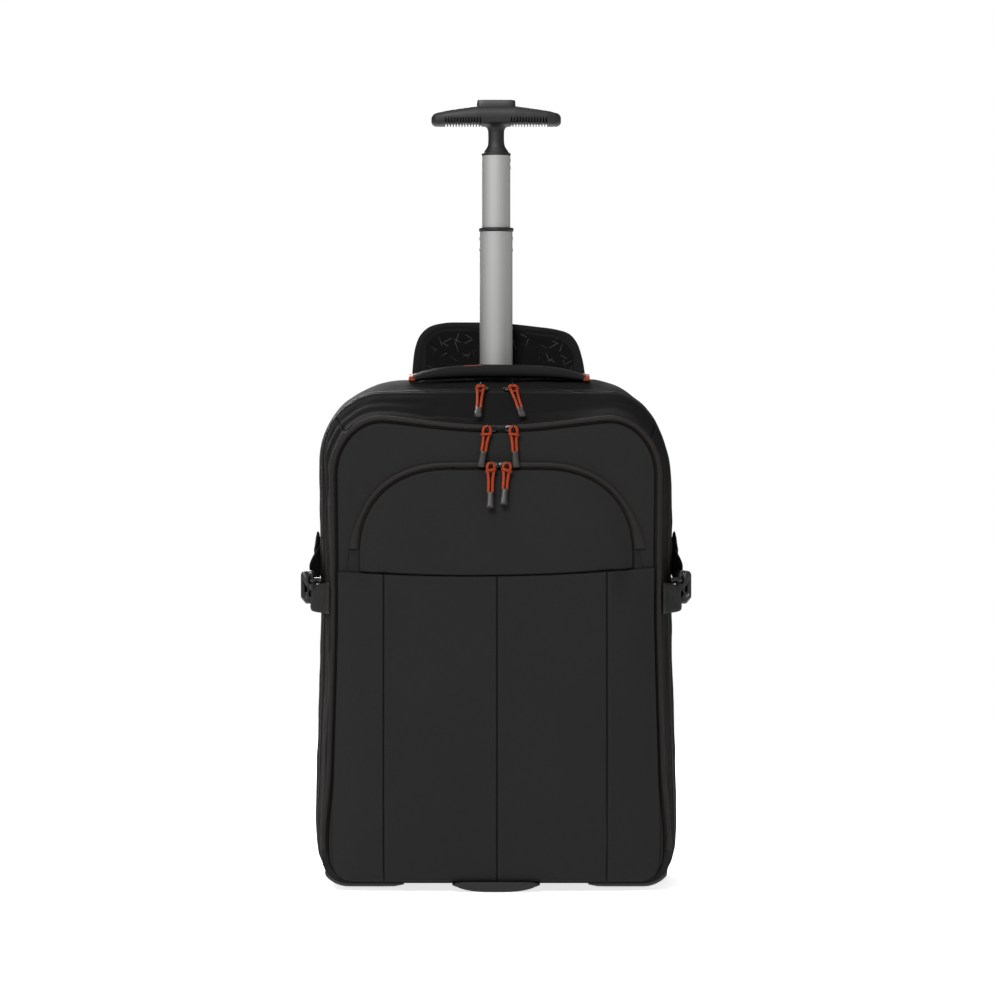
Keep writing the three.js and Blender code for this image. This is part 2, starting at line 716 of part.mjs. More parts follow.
// The loop passes under the bail's bar and round its lower post.
function cordShape(reach) {
  const y = -CORD_OUT;
  const loopZ = SLIDER_L / 2 - 0.4 - BAIL_BAR - FIT - CORD_D / 2;
  const side = [
    [CORD_SPREAD, -reach],
    [CORD_SPREAD, -0.66 * reach],
    [CORD_SPREAD + 0.5, -0.38 * reach],
    [CORD_LOOP, -SLIDER_L / 2],
    [CORD_LOOP, loopZ - CORD_LOOP + 0.6],
    [0.62 * CORD_LOOP, loopZ - 0.5],
  ];
  const points = [
    ...side.map(([x, z]) => new THREE.Vector3(-x, y, z)),
    new THREE.Vector3(0, y, loopZ),
    ...side.toReversed().map(([x, z]) => new THREE.Vector3(x, y, z)),
  ];
  const section = new THREE.Shape();
  for (let i = 0; i < 8; i += 1) {
    const a = (i + 0.5) / 8 * 2 * Math.PI;
    const corner = [CORD_D / 2 * Math.cos(a), CORD_D / 2 * Math.sin(a)];
    if (i) section.lineTo(...corner);
    else section.moveTo(...corner);
  }
  section.closePath();
  return new THREE.ExtrudeGeometry(section, {
    steps: 14,
    bevelEnabled: false,
    extrudePath: new THREE.CatmullRomCurve3(points),
  });
}

function endShape(reach) {
  const rows = [
    { down: 0, wide: 0.84, thick: 0.88 },
    { down: 0.4, wide: 0.88, thick: 0.92 },
    { down: 0.88, wide: 1.06, thick: 1 },
    { down: 1, wide: 0.94, thick: 0.84 },
  ];
  return skin(rows.map(({ down, wide, thick }) => {
    const z = -reach - FIT - down * END_L;
    const ring = [];
    for (let i = 0; i < 8; i += 1) {
      const a = (i + 0.5) / 8 * 2 * Math.PI;
      const x = Math.sign(Math.cos(a)) * Math.abs(Math.cos(a)) ** 0.5 * END_W / 2 * wide;
      const y = Math.sign(Math.sin(a)) * Math.abs(Math.sin(a)) ** 0.5 * END_THICK / 2 * thick;
      ring.push(new THREE.Vector3(x, y - CORD_OUT, z));
    }
    return ring;
  }));
}

// Where each zip's sliders sit at its top and how far the pulls lean forward there.
function pullSeat(zip, x) {
  if (zip === 'main') {
    const s = sectionAt(0);
    const flat = (s.width / 2 - s.cornerW) * BODY_WIDTH;
    const z = BASE_Z + (s.top - s.sag * (1 - (x / flat) ** 2)) * BODY_HEIGHT;
    return { y: -1, z: z - 2 * FIT, lean: 62 };
  }
  if (zip === 'middle') {
    const ring = sectionAt(-FRONT_DEPTH);
    const z = BASE_Z + (ring.top - ring.sag) * BODY_HEIGHT - ZIP_INSET - MIDDLE_ZIP_WIDTH / 2;
    return { y: PANEL_Y - ZIP_THICK - FIT, z, lean: 4 };
  }
  const z = POCKET_TOP + POCKET_ZIP_WIDTH / 2 + FIT;
  return { y: panelFace - FIT - ZIP_THICK - FIT, z, lean: 15 };
}

for (const { name, zip, at, swing, reach } of PULLS) {
  const x = at * BODY_WIDTH;
  const length = reach * CORD_REACH;
  const seat = pullSeat(zip, x);
  const turn = new THREE.Group();
  const lean = THREE.MathUtils.degToRad(seat.lean);
  const clear = zip === 'main' ? 0 : SLIDER_L / 2 * Math.sin(lean);
  turn.position.set(x, seat.y - clear, seat.z);
  turn.rotation.x = -lean;
  const hang = new THREE.Group();
  hang.rotation.y = THREE.MathUtils.degToRad(swing);
  turn.add(hang);
  bag.add(turn);
  hang.add(add(`zip_slider_${name}`, 'plastic', sliderShape()));
  hang.add(add(`pull_cord_${name}`, 'cord', cordShape(length)));
  hang.add(add(`pull_end_${name}`, 'rubber', endShape(length)));
}

// ---- Grab handle: a padded arch on the top edge.
function handleShape() {
  const rings = [];
  for (let i = 0; i <= 18; i += 1) {
    const u = -1 + i / 9;
    const x = u * HANDLE_HALF;
    const arch = (1 - Math.abs(u) ** 2.6);
    const taper = 1 - 0.42 * Math.abs(u) ** 6;
    const low = TOP_Z + FIT + HANDLE_RISE * arch;
    const slope = -HANDLE_RISE * 2.6 * Math.abs(u) ** 1.6 * Math.sign(u) / HANDLE_HALF;
    const lean = Math.atan(slope);
    const ring = [];
    for (let k = 0; k < 10; k += 1) {
      const a = k / 10 * 2 * Math.PI;
      const c = Math.sign(Math.cos(a)) * Math.abs(Math.cos(a)) ** 0.6;
      const s = Math.sign(Math.sin(a)) * Math.abs(Math.sin(a)) ** 0.7;
      const up = (1 + s) * HANDLE_THICK / 2 * taper;
      const y = HANDLE_Y + c * HANDLE_WIDTH / 2;
      ring.push(new THREE.Vector3(x - Math.sin(lean) * up, y, low + Math.cos(lean) * up));
    }
    rings.push(ring);
  }
  return skin(rings);
}
add('grab_handle', 'cloth', handleShape());

// ---- Trolley: guide in the bag, bezel on its mouth, two tubes and the T-shaped grip.
const BEZEL_Z = TOP_Z + FIT;
const BEZEL_TOP = BEZEL_Z + FIT + BEZEL_HEIGHT;
const INNER_W = LOWER_W + 2 * SLIDE_FIT;
const INNER_D = LOWER_D + 2 * SLIDE_FIT;
const GUIDE_Z = outline(REAR_DEPTH - WALL, WALL)[0].z + FIT;
add('guide_tube', 'plastic', ovalTube(GUIDE_W, GUIDE_D, GUIDE_Z, BEZEL_Z, INNER_W, INNER_D));
add('guide_bezel', 'plastic', ovalTube(
  GUIDE_W + BEZEL_RIM, GUIDE_D + BEZEL_RIM, BEZEL_Z + FIT, BEZEL_TOP, INNER_W, INNER_D,
));
const COLLAR_Z = BEZEL_TOP + LOWER_OUT;
const LOWER_BORE_W = LOWER_W - 2 * TUBE_WALL;
const LOWER_BORE_D = LOWER_D - 2 * TUBE_WALL;
add('lower_tube', 'metal', ovalTube(
  LOWER_W, LOWER_D, COLLAR_Z - FIT - LOWER_LENGTH, COLLAR_Z - FIT, LOWER_BORE_W, LOWER_BORE_D,
));
add('tube_collar', 'plastic', ovalTube(
  LOWER_W + 2 * COLLAR_RIM, LOWER_D + 2 * COLLAR_RIM, COLLAR_Z, COLLAR_Z + COLLAR_HEIGHT,
  UPPER_W + SLIDE_FIT, UPPER_D + SLIDE_FIT,
));
const GRIP_Z = COLLAR_Z + COLLAR_HEIGHT + UPPER_OUT;      // end of the upper tube
add('upper_tube', 'metal', ovalTube(
  UPPER_W, UPPER_D, GRIP_Z - FIT - UPPER_LENGTH, GRIP_Z - FIT,
  UPPER_W - 2 * TUBE_WALL, UPPER_D - 2 * TUBE_WALL,
));

function gripShape() {
  const rows = [...GRIP_SECTIONS.toReversed().map((row) => ({ ...row, out: -row.out })),
    ...GRIP_SECTIONS.slice(1)];
  const barZ = GRIP_Z + NECK_HEIGHT;
  const bar = skin(rows.map(({ out, high, deep }) => {
    const ring = [];
    const low = barZ + GRIP_HEIGHT * 0.3 * (1 - Math.min(1, high / 0.66));
    for (let k = 0; k < 14; k += 1) {
      const a = (k + 0.5) / 14 * 2 * Math.PI;
      const c = Math.sign(Math.cos(a)) * Math.abs(Math.cos(a)) ** 0.75;
      const s = Math.sign(Math.sin(a)) * Math.abs(Math.sin(a)) ** 0.75;
      const z = low + (1 + s) / 2 * GRIP_HEIGHT * high;
      ring.push(new THREE.Vector3(out * GRIP_HALF, POLE_Y + c * GRIP_DEPTH / 2 * deep, z));
    }
    return ring;
  }));
  const profile = [
    [0, 0],
    [UPPER_W / 2 + 0.4, 0],
    [UPPER_W / 2 + 0.4, 2.6],
    [UPPER_W / 2 - 1.2, 4],
    [NECK_W / 2 + 1.2, 11],
    [NECK_W / 2, 15],
    [NECK_W / 2, NECK_HEIGHT - 2],
    [NECK_W / 2 + 4, NECK_HEIGHT + 3],
    [0, NECK_HEIGHT + 3],
  ];
  const neck = new THREE.LatheGeometry(profile.map(([r, z]) => new THREE.Vector2(r, z)), 20);
  neck.rotateX(Math.PI / 2);
  neck.scale(1, UPPER_D / UPPER_W, 1).translate(0, POLE_Y, GRIP_Z);
  const roomW = BUTTON_W / 2 + FIT;
  const roomD = BUTTON_D / 2 + FIT;
  const top = barZ + GRIP_HEIGHT;
  const floor = top - BUTTON_BODY - BUTTON_TRAVEL - FIT;
  const cuts = [box(-roomW, roomW, POLE_Y - roomD, POLE_Y + roomD, floor, top + 1)];
  for (let i = 0; i < COMB_COUNT; i += 1) {
    const x = COMB_START + i * COMB_PITCH;
    for (const side of [-1, 1]) {
      const y = POLE_Y - GRIP_DEPTH / 2 * lookup(GRIP_SECTIONS, 'out', x / GRIP_HALF).deep;
      const from = side * x - COMB_WIDTH / 2;
      cuts.push(box(from, from + COMB_WIDTH, y - 1, y + COMB_DEPTH, barZ - 1, barZ + COMB_HEIGHT));
    }
  }
  return cut(join(bar, neck), ...cuts);
}
add('grip', 'plastic', gripShape());

const gripTop = GRIP_Z + NECK_HEIGHT + GRIP_HEIGHT;
add('grip_button', 'plastic', skin([
  { z: gripTop - BUTTON_BODY, share: 1 },
  { z: gripTop + BUTTON_RISE - 2, share: 1 },
  { z: gripTop + BUTTON_RISE, share: 0.9 },
].map(({ z, share }) => [[-1, -1], [1, -1], [1, 1], [-1, 1]].map(([x, y]) => new THREE.Vector3(
  x * BUTTON_W / 2 * share,
  POLE_Y + y * BUTTON_D / 2 * share,
  z,
)))));

// ---- Wheels: a soft tyre round a spoked hub that turns on the housing's axle.
function wheelLathe(profile) {
  const geometry = new THREE.LatheGeometry(profile.map(([r, x]) => new THREE.Vector2(r, x)), 20);
  return geometry.rotateZ(-Math.PI / 2).translate(WHEEL_X, WHEEL_Y, WHEEL_R);
}

const halfW = WHEEL_W / 2;
const bore = AXLE_R + AXLE_FIT;
addPair('tyre', 'rubber', wheelLathe([
  [HUB_R + FIT, -halfW + 1],
  [WHEEL_R - 4, -halfW],
  [WHEEL_R, -halfW + 4],
  [WHEEL_R, halfW - 4],
  [WHEEL_R - 4, halfW],
  [HUB_R + FIT, halfW - 1],
  [HUB_R + FIT, -halfW + 1],
]));
addPair('wheel_hub', 'plastic', wheelLathe([
  [bore, -halfW],
  [bore + 5, -halfW],
  [bore + 6, -halfW + 4],
  [HUB_R - 4, -halfW + 4],
  [HUB_R - 3, -halfW + 1.5],
  [HUB_R, -halfW + 1.5],
  [HUB_R, halfW - 1.5],
  [HUB_R - 3, halfW - 1.5],
  [HUB_R - 4, halfW - 4],
  [bore + 6, halfW - 4],
  [bore + 5, halfW],
  [bore, halfW],
  [bore, -halfW],
]));

// ---- Foot and corner guards under the front edge.
function footShape() {
  const high = BASE_Z - FIT;
  const points = [[-FOOT_HALF, high]];
  for (let i = 0; i <= 5; i += 1) {
    const a = i / 5 * Math.PI / 2;
    const x = FOOT_FLAT + (FOOT_HALF - FOOT_FLAT) * Math.cos(a);
    points.push([-x, high * (1 - Math.sin(a))]);
  }
  points.splice(1, 1);
  const right = points.toReversed().map(([x, z]) => [-x, z]);
  const shape = new THREE.Shape([...points, ...right].map(([x, z]) => new THREE.Vector2(x, z)));
  const geometry = new THREE.ExtrudeGeometry(shape, { depth: FOOT_DEPTH, bevelEnabled: false });
  return geometry.rotateX(Math.PI / 2).translate(0, -FRONT_DEPTH - FOOT_AHEAD + FOOT_DEPTH, 0);
}
add('stand_foot', 'rubber', footShape());

// Each guard follows the base from its inner end to the middle of the corner.
function guardShape() {
  const y0 = -FRONT_DEPTH - FIT;
  const rings = [y0, y0 + GUARD_DEPTH].map((y) => {
    const ring = [];
    for (const inset of [-FIT, -FIT - GUARD_THICK]) {
      const points = outline(Math.max(y, -FRONT_DEPTH), inset).slice(3, 6);
      const start = new THREE.Vector3(GUARD_INNER, y, points[0].z);
      const side = [start, ...points.map((p) => new THREE.Vector3(p.x, y, p.z))];
      ring.push(...(inset === -FIT ? side : side.reverse()));
    }
    return ring;
  });
  return skin(rings);
}
addPair('corner_guard', 'plastic', guardShape());

// ---- Flap: the open cover of the trolley, standing behind the pole, with a lining in front.
const FLAP_Y = REAR_DEPTH - FLAP_THICK;
const FLAP_Z = BASE_Z + sectionAt(FLAP_Y).top * BODY_HEIGHT + FIT;

function flapShape(border, low, y0, y1) {
  const high = FLAP_Z + FLAP_HEIGHT - border - low;
  const shape = new THREE.Shape(FLAP_LINE.map((point) => new THREE.Vector2(
    point.across * (FLAP_HALF - border),
    low + point.high * high,
  )));
  const geometry = new THREE.ExtrudeGeometry(shape, { depth: y1 - y0, bevelEnabled: false });
  return geometry.rotateX(Math.PI / 2).translate(0, y1, 0);
}

add('trolley_flap', 'cloth', flapShape(0, FLAP_Z, FLAP_Y, FLAP_Y + FLAP_THICK));
add('flap_lining', 'lining', flapShape(
  FLAP_BORDER, FLAP_Z + 1, FLAP_Y - FIT - LINING_THICK, FLAP_Y - FIT,
));

// ---- Compression straps with side-release buckles, on both sides across the main zip.
const ACROSS = new THREE.Vector3(0, 0, 1);
const OUTWARD = new THREE.Vector3(1, 0, 0);
const BUCKLE_X = sideX(BUCKLE_Y + SOCKET_LENGTH, BUCKLE_Z) + BUCKLE_OFF;
const SOCKET_BACK = BUCKLE_Y + SOCKET_LENGTH / 2 + PRONG_BAR / 2;
const SOCKET_FRONT = SOCKET_BACK - SOCKET_LENGTH;
const PRONG_FRONT = SOCKET_FRONT - FIT - PRONG_BAR;
const WEB_X = BUCKLE_X + (BUCKLE_THICK - WEB_THICK) / 2;

function station(x, y, z, width) {
  return { at: new THREE.Vector3(x, y, z), across: ACROSS, out: OUTWARD, width, thick: WEB_THICK };
}

const REAR_ANCHOR_Y = SOCKET_BACK + REAR_RUN;
const REAR_LAID_Y = SOCKET_BACK + 0.68 * REAR_RUN;
addPair('rear_strap', 'web', band([
  station(WEB_X, SOCKET_BACK + FIT, BUCKLE_Z, WEB),
  station(WEB_X - 1, SOCKET_BACK + 0.27 * REAR_RUN, BUCKLE_Z + 0.24 * REAR_RISE, WEB),
  station(sideX(REAR_LAID_Y, BUCKLE_Z) + FIT + 1, REAR_LAID_Y, BUCKLE_Z + 0.74 * REAR_RISE, WEB),
  station(sideX(REAR_ANCHOR_Y, BUCKLE_Z) + FIT + 1, REAR_ANCHOR_Y, BUCKLE_Z + REAR_RISE, WEB),
]));
const FRONT_ANCHOR_Y = -FRONT_DEPTH + FRONT_SEW;
const FRONT_LAID_Y = FRONT_ANCHOR_Y + 1.5 * FRONT_SEW;
addPair('front_strap', 'web', band([
  station(WEB_X, PRONG_FRONT - FIT, BUCKLE_Z - 0.3 * FRONT_DROP, WEB),
  station(WEB_X - 3, PRONG_FRONT - 8, BUCKLE_Z - 0.85 * FRONT_DROP, WEB),
  station(sideX(FRONT_LAID_Y, BUCKLE_Z) + 1, FRONT_LAID_Y, BUCKLE_Z - FRONT_DROP, WEB),
  station(sideX(FRONT_ANCHOR_Y, BUCKLE_Z) + 1, FRONT_ANCHOR_Y, BUCKLE_Z - FRONT_DROP, WEB),
]));

const BUCKLE_OUT = BUCKLE_X + BUCKLE_THICK;
const MOUTH_HALF = BUCKLE_W / 2 - 4;
const MOUTH_LOW = BUCKLE_X + 2.5;
const MOUTH_HIGH = BUCKLE_OUT - 2.5;
const halfBuckle = BUCKLE_W / 2;
const socketBlock = box(
  BUCKLE_X, BUCKLE_OUT, SOCKET_FRONT, SOCKET_BACK, BUCKLE_Z - halfBuckle, BUCKLE_Z + halfBuckle,
);
const socketMouth = box(
  MOUTH_LOW, MOUTH_HIGH, SOCKET_FRONT - 1, SOCKET_BACK - 5, BUCKLE_Z - MOUTH_HALF,
  BUCKLE_Z + MOUTH_HALF,
);
// the side windows that show the prongs
const socketWindow = box(
  MOUTH_LOW, MOUTH_HIGH, SOCKET_FRONT + 8, SOCKET_BACK - 9, BUCKLE_Z - halfBuckle - 1,
  BUCKLE_Z + halfBuckle + 1,
);
addPair('buckle_socket', 'plastic', cut(socketBlock, socketMouth, socketWindow));

const prongBar = box(
  BUCKLE_X + 1, BUCKLE_OUT - 1, PRONG_FRONT, SOCKET_FRONT - FIT, BUCKLE_Z - halfBuckle + 1,
  BUCKLE_Z + halfBuckle - 1,
);
const prongs = [-1, 1].map((side) => {
  const outer = BUCKLE_Z + side * (MOUTH_HALF - FIT);
  const inner = BUCKLE_Z + side * (MOUTH_HALF - FIT - 4);
  return box(
    MOUTH_LOW + FIT, MOUTH_HIGH - FIT, SOCKET_FRONT - FIT - 1, SOCKET_BACK - 8,
    Math.min(outer, inner), Math.max(outer, inner),
  );
});
addPair('buckle_prongs', 'plastic', join(prongBar, ...prongs));

// ---- Back: a pad on the back wall and two plain shoulder straps.
const PAD_Y = REAR_DEPTH + FIT;

// The pad over its height. at: share of the height. thick, wide: shares of its sizes.
const PAD_ROWS = [
  { at: 0.00, thick: 0.30, wide: 0.84 },
  { at: 0.06, thick: 0.85, wide: 0.94 },
  { at: 0.16, thick: 1.00, wide: 1.00 },
  { at: 0.84, thick: 1.00, wide: 1.00 },
  { at: 0.94, thick: 0.85, wide: 0.94 },
  { at: 1.00, thick: 0.30, wide: 0.84 },
];

function padFace(z) {
  const row = lookup(PAD_ROWS, 'at', (z - PAD_LOW) / (PAD_HIGH - PAD_LOW));
  return PAD_Y + row.thick * PAD_THICK;
}

add('back_pad', 'clothDark', skin(PAD_ROWS.map(({ at, thick, wide }) => {
  const z = THREE.MathUtils.lerp(PAD_LOW, PAD_HIGH, at);
  const ring = [[-1, 0], [1, 0]];
  for (let i = 0; i <= 8; i += 1) {
    const u = 1 - i / 4;
    ring.push([u, (1 - 0.7 * Math.abs(u) ** 8) * thick]);
  }
  return ring.map(([u, t]) => new THREE.Vector3(u * PAD_HALF * wide, PAD_Y + t * PAD_THICK, z));
})));

// Rows of a shoulder strap, top to bottom. down: share of the strap's run on the pad.
const STRAP_ROWS = [
  { down: 0.00, off: 0.00, out: 0.00, wide: 0.80 },
  { down: 0.06, off: 0.42, out: 0.00, wide: 0.95 },
  { down: 0.18, off: 0.82, out: 0.08, wide: 1.00 },
  { down: 0.40, off: 1.00, out: 0.25, wide: 1.00 },
  { down: 0.62, off: 0.85, out: 0.50, wide: 0.92 },
  { down: 0.78, off: 0.60, out: 0.75, wide: 0.70 },
];
const strapTop = PAD_HIGH - STRAP_INSET;
const strapLow = PAD_LOW + STRAP_INSET;
const strapRun = strapTop - strapLow;

function strapPoint({ down, off, out }) {
  const z = strapTop - strapRun * down;
  const x = (STRAP_X + STRAP_DRIFT * out) * PAD_HALF;
  return new THREE.Vector3(x, padFace(z) + FIT + STRAP_ARC * off, z);
}

const sideways = new THREE.Vector3(1, 0, 0);
const backward = new THREE.Vector3(0, 1, 0);
addPair('shoulder_strap', 'cloth', band(STRAP_ROWS.map((row) => ({
  at: strapPoint(row),
  across: sideways,
  out: backward,
  width: STRAP_W * row.wide,
  thick: STRAP_THICK,
}))));

const strapEnd = strapPoint(STRAP_ROWS.at(-1));
const adjusterZ = strapEnd.z - FIT;
const ADJUSTER_H = 14;
addPair('strap_adjuster', 'plastic', box(
  strapEnd.x - SHOULDER_WEB / 2 - 4, strapEnd.x + SHOULDER_WEB / 2 + 4,
  strapEnd.y + 2, strapEnd.y + 8, adjusterZ - ADJUSTER_H, adjusterZ,
));
addPair('strap_webbing', 'web', band([
  { z: adjusterZ - ADJUSTER_H - FIT, y: strapEnd.y + 4, x: strapEnd.x },
  { z: (adjusterZ + strapLow) / 2 - 6, y: strapEnd.y - 1, x: strapEnd.x + 4 },
  { z: strapLow, y: padFace(strapLow) + FIT, x: strapEnd.x + 8 },
].map(({ x, y, z }) => ({
  at: new THREE.Vector3(x, y, z),
  across: sideways,
  out: backward,
  width: SHOULDER_WEB,
  thick: WEB_THICK,
}))));

// The origin is the middle of the footprint of all but the pull cords and their ends.
bag.updateMatrixWorld(true);
const footprint = new THREE.Box3();
bag.traverse((node) => {
  if (node.isMesh && !/^pull_/.test(node.name)) footprint.expandByObject(node, true);
});
const middle = footprint.getCenter(new THREE.Vector3());
bag.position.set(-middle.x, -middle.y, -footprint.min.z);

export default bag;
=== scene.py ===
# %% [markdown]
# # A wheeled backpack, dressed in cloth, webbing, metal and cord
# The imported CAD model gives every solid its place: two compartments, the pockets, the zips, a
# telescopic pole, wheels and straps. Here each soft solid is replaced by a finer surface of the
# same size, and each hard one gets its real finish. The frame is loaded first.

# %% Load the frame
import json
import bpy
import numpy as np
from mathutils import Matrix, Vector

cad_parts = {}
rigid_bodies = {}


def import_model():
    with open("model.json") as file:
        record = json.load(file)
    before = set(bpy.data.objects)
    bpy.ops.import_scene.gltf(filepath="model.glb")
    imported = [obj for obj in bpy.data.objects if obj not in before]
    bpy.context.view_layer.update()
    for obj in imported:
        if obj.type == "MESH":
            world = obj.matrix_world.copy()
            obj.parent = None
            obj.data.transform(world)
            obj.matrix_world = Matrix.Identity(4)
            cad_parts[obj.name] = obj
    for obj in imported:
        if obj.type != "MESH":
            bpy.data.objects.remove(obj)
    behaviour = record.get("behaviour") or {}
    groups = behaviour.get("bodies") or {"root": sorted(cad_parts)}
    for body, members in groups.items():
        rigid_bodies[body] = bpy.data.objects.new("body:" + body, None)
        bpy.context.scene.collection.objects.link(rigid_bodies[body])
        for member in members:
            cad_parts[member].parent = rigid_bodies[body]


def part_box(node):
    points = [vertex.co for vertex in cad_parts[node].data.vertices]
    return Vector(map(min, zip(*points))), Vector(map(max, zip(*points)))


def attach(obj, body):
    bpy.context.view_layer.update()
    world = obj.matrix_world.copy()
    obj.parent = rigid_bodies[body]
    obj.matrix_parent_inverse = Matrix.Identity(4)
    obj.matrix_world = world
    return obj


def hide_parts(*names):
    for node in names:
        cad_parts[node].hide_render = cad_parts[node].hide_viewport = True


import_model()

for stray in [o for o in bpy.data.objects if o.name in ("Cube", "Light", "Camera")]:
    bpy.data.objects.remove(stray)
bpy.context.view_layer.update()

# %% [markdown]
# ## Camera
# The photograph was taken from straight in front, with the lens at about half the height of the
# whole backpack and some three metres away. The lens is long, so the sides hardly show. It stands
# level, and no shift is needed.

# %% Camera at the photograph's place
lens = bpy.data.cameras.new("front_camera")
lens.sensor_width = 36
lens.lens = 121.99
camera = bpy.data.objects.new("front_camera", lens)
camera.location = (0.0009, -3.3245, 0.377)
camera.rotation_euler = (np.pi / 2, 0, 0)
bpy.context.scene.collection.objects.link(camera)
bpy.context.scene.camera = camera
bpy.context.scene.view_settings.view_transform = "Standard"
print("camera", tuple(round(v, 4) for v in camera.location))

# %% [markdown]
# ## Working space
# The measures are the CAD source's own, in millimetres, with y = 0 in the plane of the main zip.
# Blender wants metres and the middle of the footprint as the origin, so one function moves each
# finished surface there. A surface is a grid of points with rows and columns. It may close on
# itself either way, and its ends may close in a fan. Beside the points it carries a cloth map in
# millimetres, which threads follow, and a seam map: how far each point is from the next seam,
# and how far along it. Stitches follow that one.

# %% Points to metres, and grids to meshes
BACK = 37.5                      # from the main zip's plane to the origin, towards the back
WIDE, HIGH, BASE = 350.0, 487.0, 7.0     # the cloth body, and its lowest point over the floor
POLE_Y = 95.0                    # the middle of the pole, from front to back
NO_SEAM = 20                     # on a seam map, too far from any seam for its stitches


def metres(points):
    """(x, y - BACK, z) / 1000."""
    return (np.asarray(points, float) - (0, BACK, 0)) / 1000


def spans(points, axis):
    """Length walked along an axis of the grid, from its start: the sum of the steps so far."""
    steps = np.linalg.norm(np.diff(points, axis=axis), axis=-1)
    start = np.zeros_like(np.take(steps, [0], axis))
    return np.concatenate([start, np.cumsum(steps, axis)], axis)


def surface(name, points, ring=False, loop=False, fans=(False, False), seam=None, cloth=None):
    """A mesh through points[row, column]. ring joins the last column to the first and loop the
    last row to the first. A fan closes an end row at its middle."""
    points = np.asarray(points, float)
    rows, columns = points.shape[:2]
    index = np.arange(rows * columns).reshape(rows, columns)
    maps = {"UVMap": cloth if cloth is not None
            else np.stack([spans(points, 1), spans(points, 0)], -1)}
    if seam is not None:
        maps["Seam"] = seam
    if ring:
        index = np.concatenate([index, index[:, :1]], 1)
        for key, plane in maps.items():
            last = 2 * plane[:, -1:] - plane[:, -2:-1] if key == "UVMap" else plane[:, :1]
            maps[key] = np.concatenate([plane, last], 1)
    if loop:
        index = np.concatenate([index, index[:1]], 0)
        maps = {key: np.concatenate([plane, 2 * plane[-1:] - plane[-2:-1]], 0)
                for key, plane in maps.items()}
    corner = lambda plane: np.stack([plane[:-1, :-1], plane[:-1, 1:], plane[1:, 1:],
                                     plane[1:, :-1]], 2)
    faces = corner(index).reshape(-1, 4).tolist()
    loops = {key: corner(plane).reshape(-1, 2) for key, plane in maps.items()}
    flat = points.reshape(-1, 3)
    for row, closed in zip((0, -1), fans):
        if closed:
            middle = flat.shape[0]
            flat = np.concatenate([flat, points[row].mean(0)[None]])
            a, b = index[row][:-1], index[row][1:]
            if not ring:
                a, b = np.append(a, index[row][-1]), np.append(b, index[row][0])
            first, second = (b, a) if row == 0 else (a, b)
            faces += np.stack([first, second, np.full(a.shape, middle)], -1).tolist()
            for key, plane in maps.items():
                ends = plane.reshape(-1, 2)[:1].repeat(3 * len(a), 0)
                loops[key] = np.concatenate([loops[key], ends])
    mesh = bpy.data.meshes.new(name)
    mesh.from_pydata(metres(flat).tolist(), [], faces)
    for key, values in loops.items():
        mesh.uv_layers.new(name=key).data.foreach_set("uv", values.astype(np.float32).ravel())
    mesh.polygons.foreach_set("use_smooth", np.ones(len(faces), bool))
    piece = bpy.data.objects.new(name, mesh)
    bpy.context.scene.collection.objects.link(piece)
    return piece


def volume(mesh):
    """Sum over the triangles of a · (b × c) / 6: below zero where the faces point inwards."""
    mesh.calc_loop_triangles()
    co = np.zeros(len(mesh.vertices) * 3, np.float32)
    mesh.vertices.foreach_get("co", co)
    tri = np.zeros(len(mesh.loop_triangles) * 3, np.int32)
    mesh.loop_triangles.foreach_get("vertices", tri)
    a, b, c = co.reshape(-1, 3).astype(float)[tri.reshape(-1, 3)].transpose(1, 0, 2)
    return np.einsum("ij,ij->", a, np.cross(b, c)) / 6


def outwards(piece):
    """Turns a closed mesh round where its volume is below zero."""
    if volume(piece.data) < 0:
        piece.data.flip_normals()
    return piece


def wear(piece, material, body="bag", stands_for=()):
    """Gives the piece its finish and its body, and hides the CAD nodes that it stands for."""
    piece.data.materials.clear()
    piece.data.materials.append(material)
    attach(piece, body)
    if stands_for:
        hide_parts(*stands_for)
    return piece


def modifier(piece, kind, **settings):
    """Adds a modifier with its settings."""
    added = piece.modifiers.new(kind.title(), kind)
    for key, value in settings.items():
        setattr(added, key, value)
    return added


def applied(piece):
    """Puts what the modifiers make into the mesh and drops them."""
    ready = piece.evaluated_get(bpy.context.evaluated_depsgraph_get())
    mesh = bpy.data.meshes.new_from_object(ready)
    piece.modifiers.clear()
    piece.data = mesh
    return piece


def joined(name, pieces):
    """One object from several that share a finish and a body."""
    with bpy.context.temp_override(active_object=pieces[0], selected_editable_objects=pieces):
        bpy.ops.object.join()
    pieces[0].name = pieces[0].data.name = name
    return pieces[0]


def mirrored(piece, name):
    """A copy with x turned round and its faces turned back outwards."""
    copy = piece.copy()
    copy.data = piece.data.copy()
    copy.name = copy.data.name = name
    bpy.context.scene.collection.objects.link(copy)
    co = np.zeros(len(copy.data.vertices) * 3, np.float32)
    copy.data.vertices.foreach_get("co", co)
    co = co.reshape(-1, 3) * (-1, 1, 1)
    copy.data.vertices.foreach_set("co", co.astype(np.float32).ravel())
    copy.data.flip_normals()
    return copy


print("helpers ready")

# %% [markdown]
# ## Shader maths
# A weave or a row of stitches is a sum of simple waves. Written node by node it would be hard to
# follow, so a small class holds one socket and turns the signs of arithmetic into Math nodes. A
# bench holds the material that is being made: it adds any other node from its type, its settings
# and its sockets.

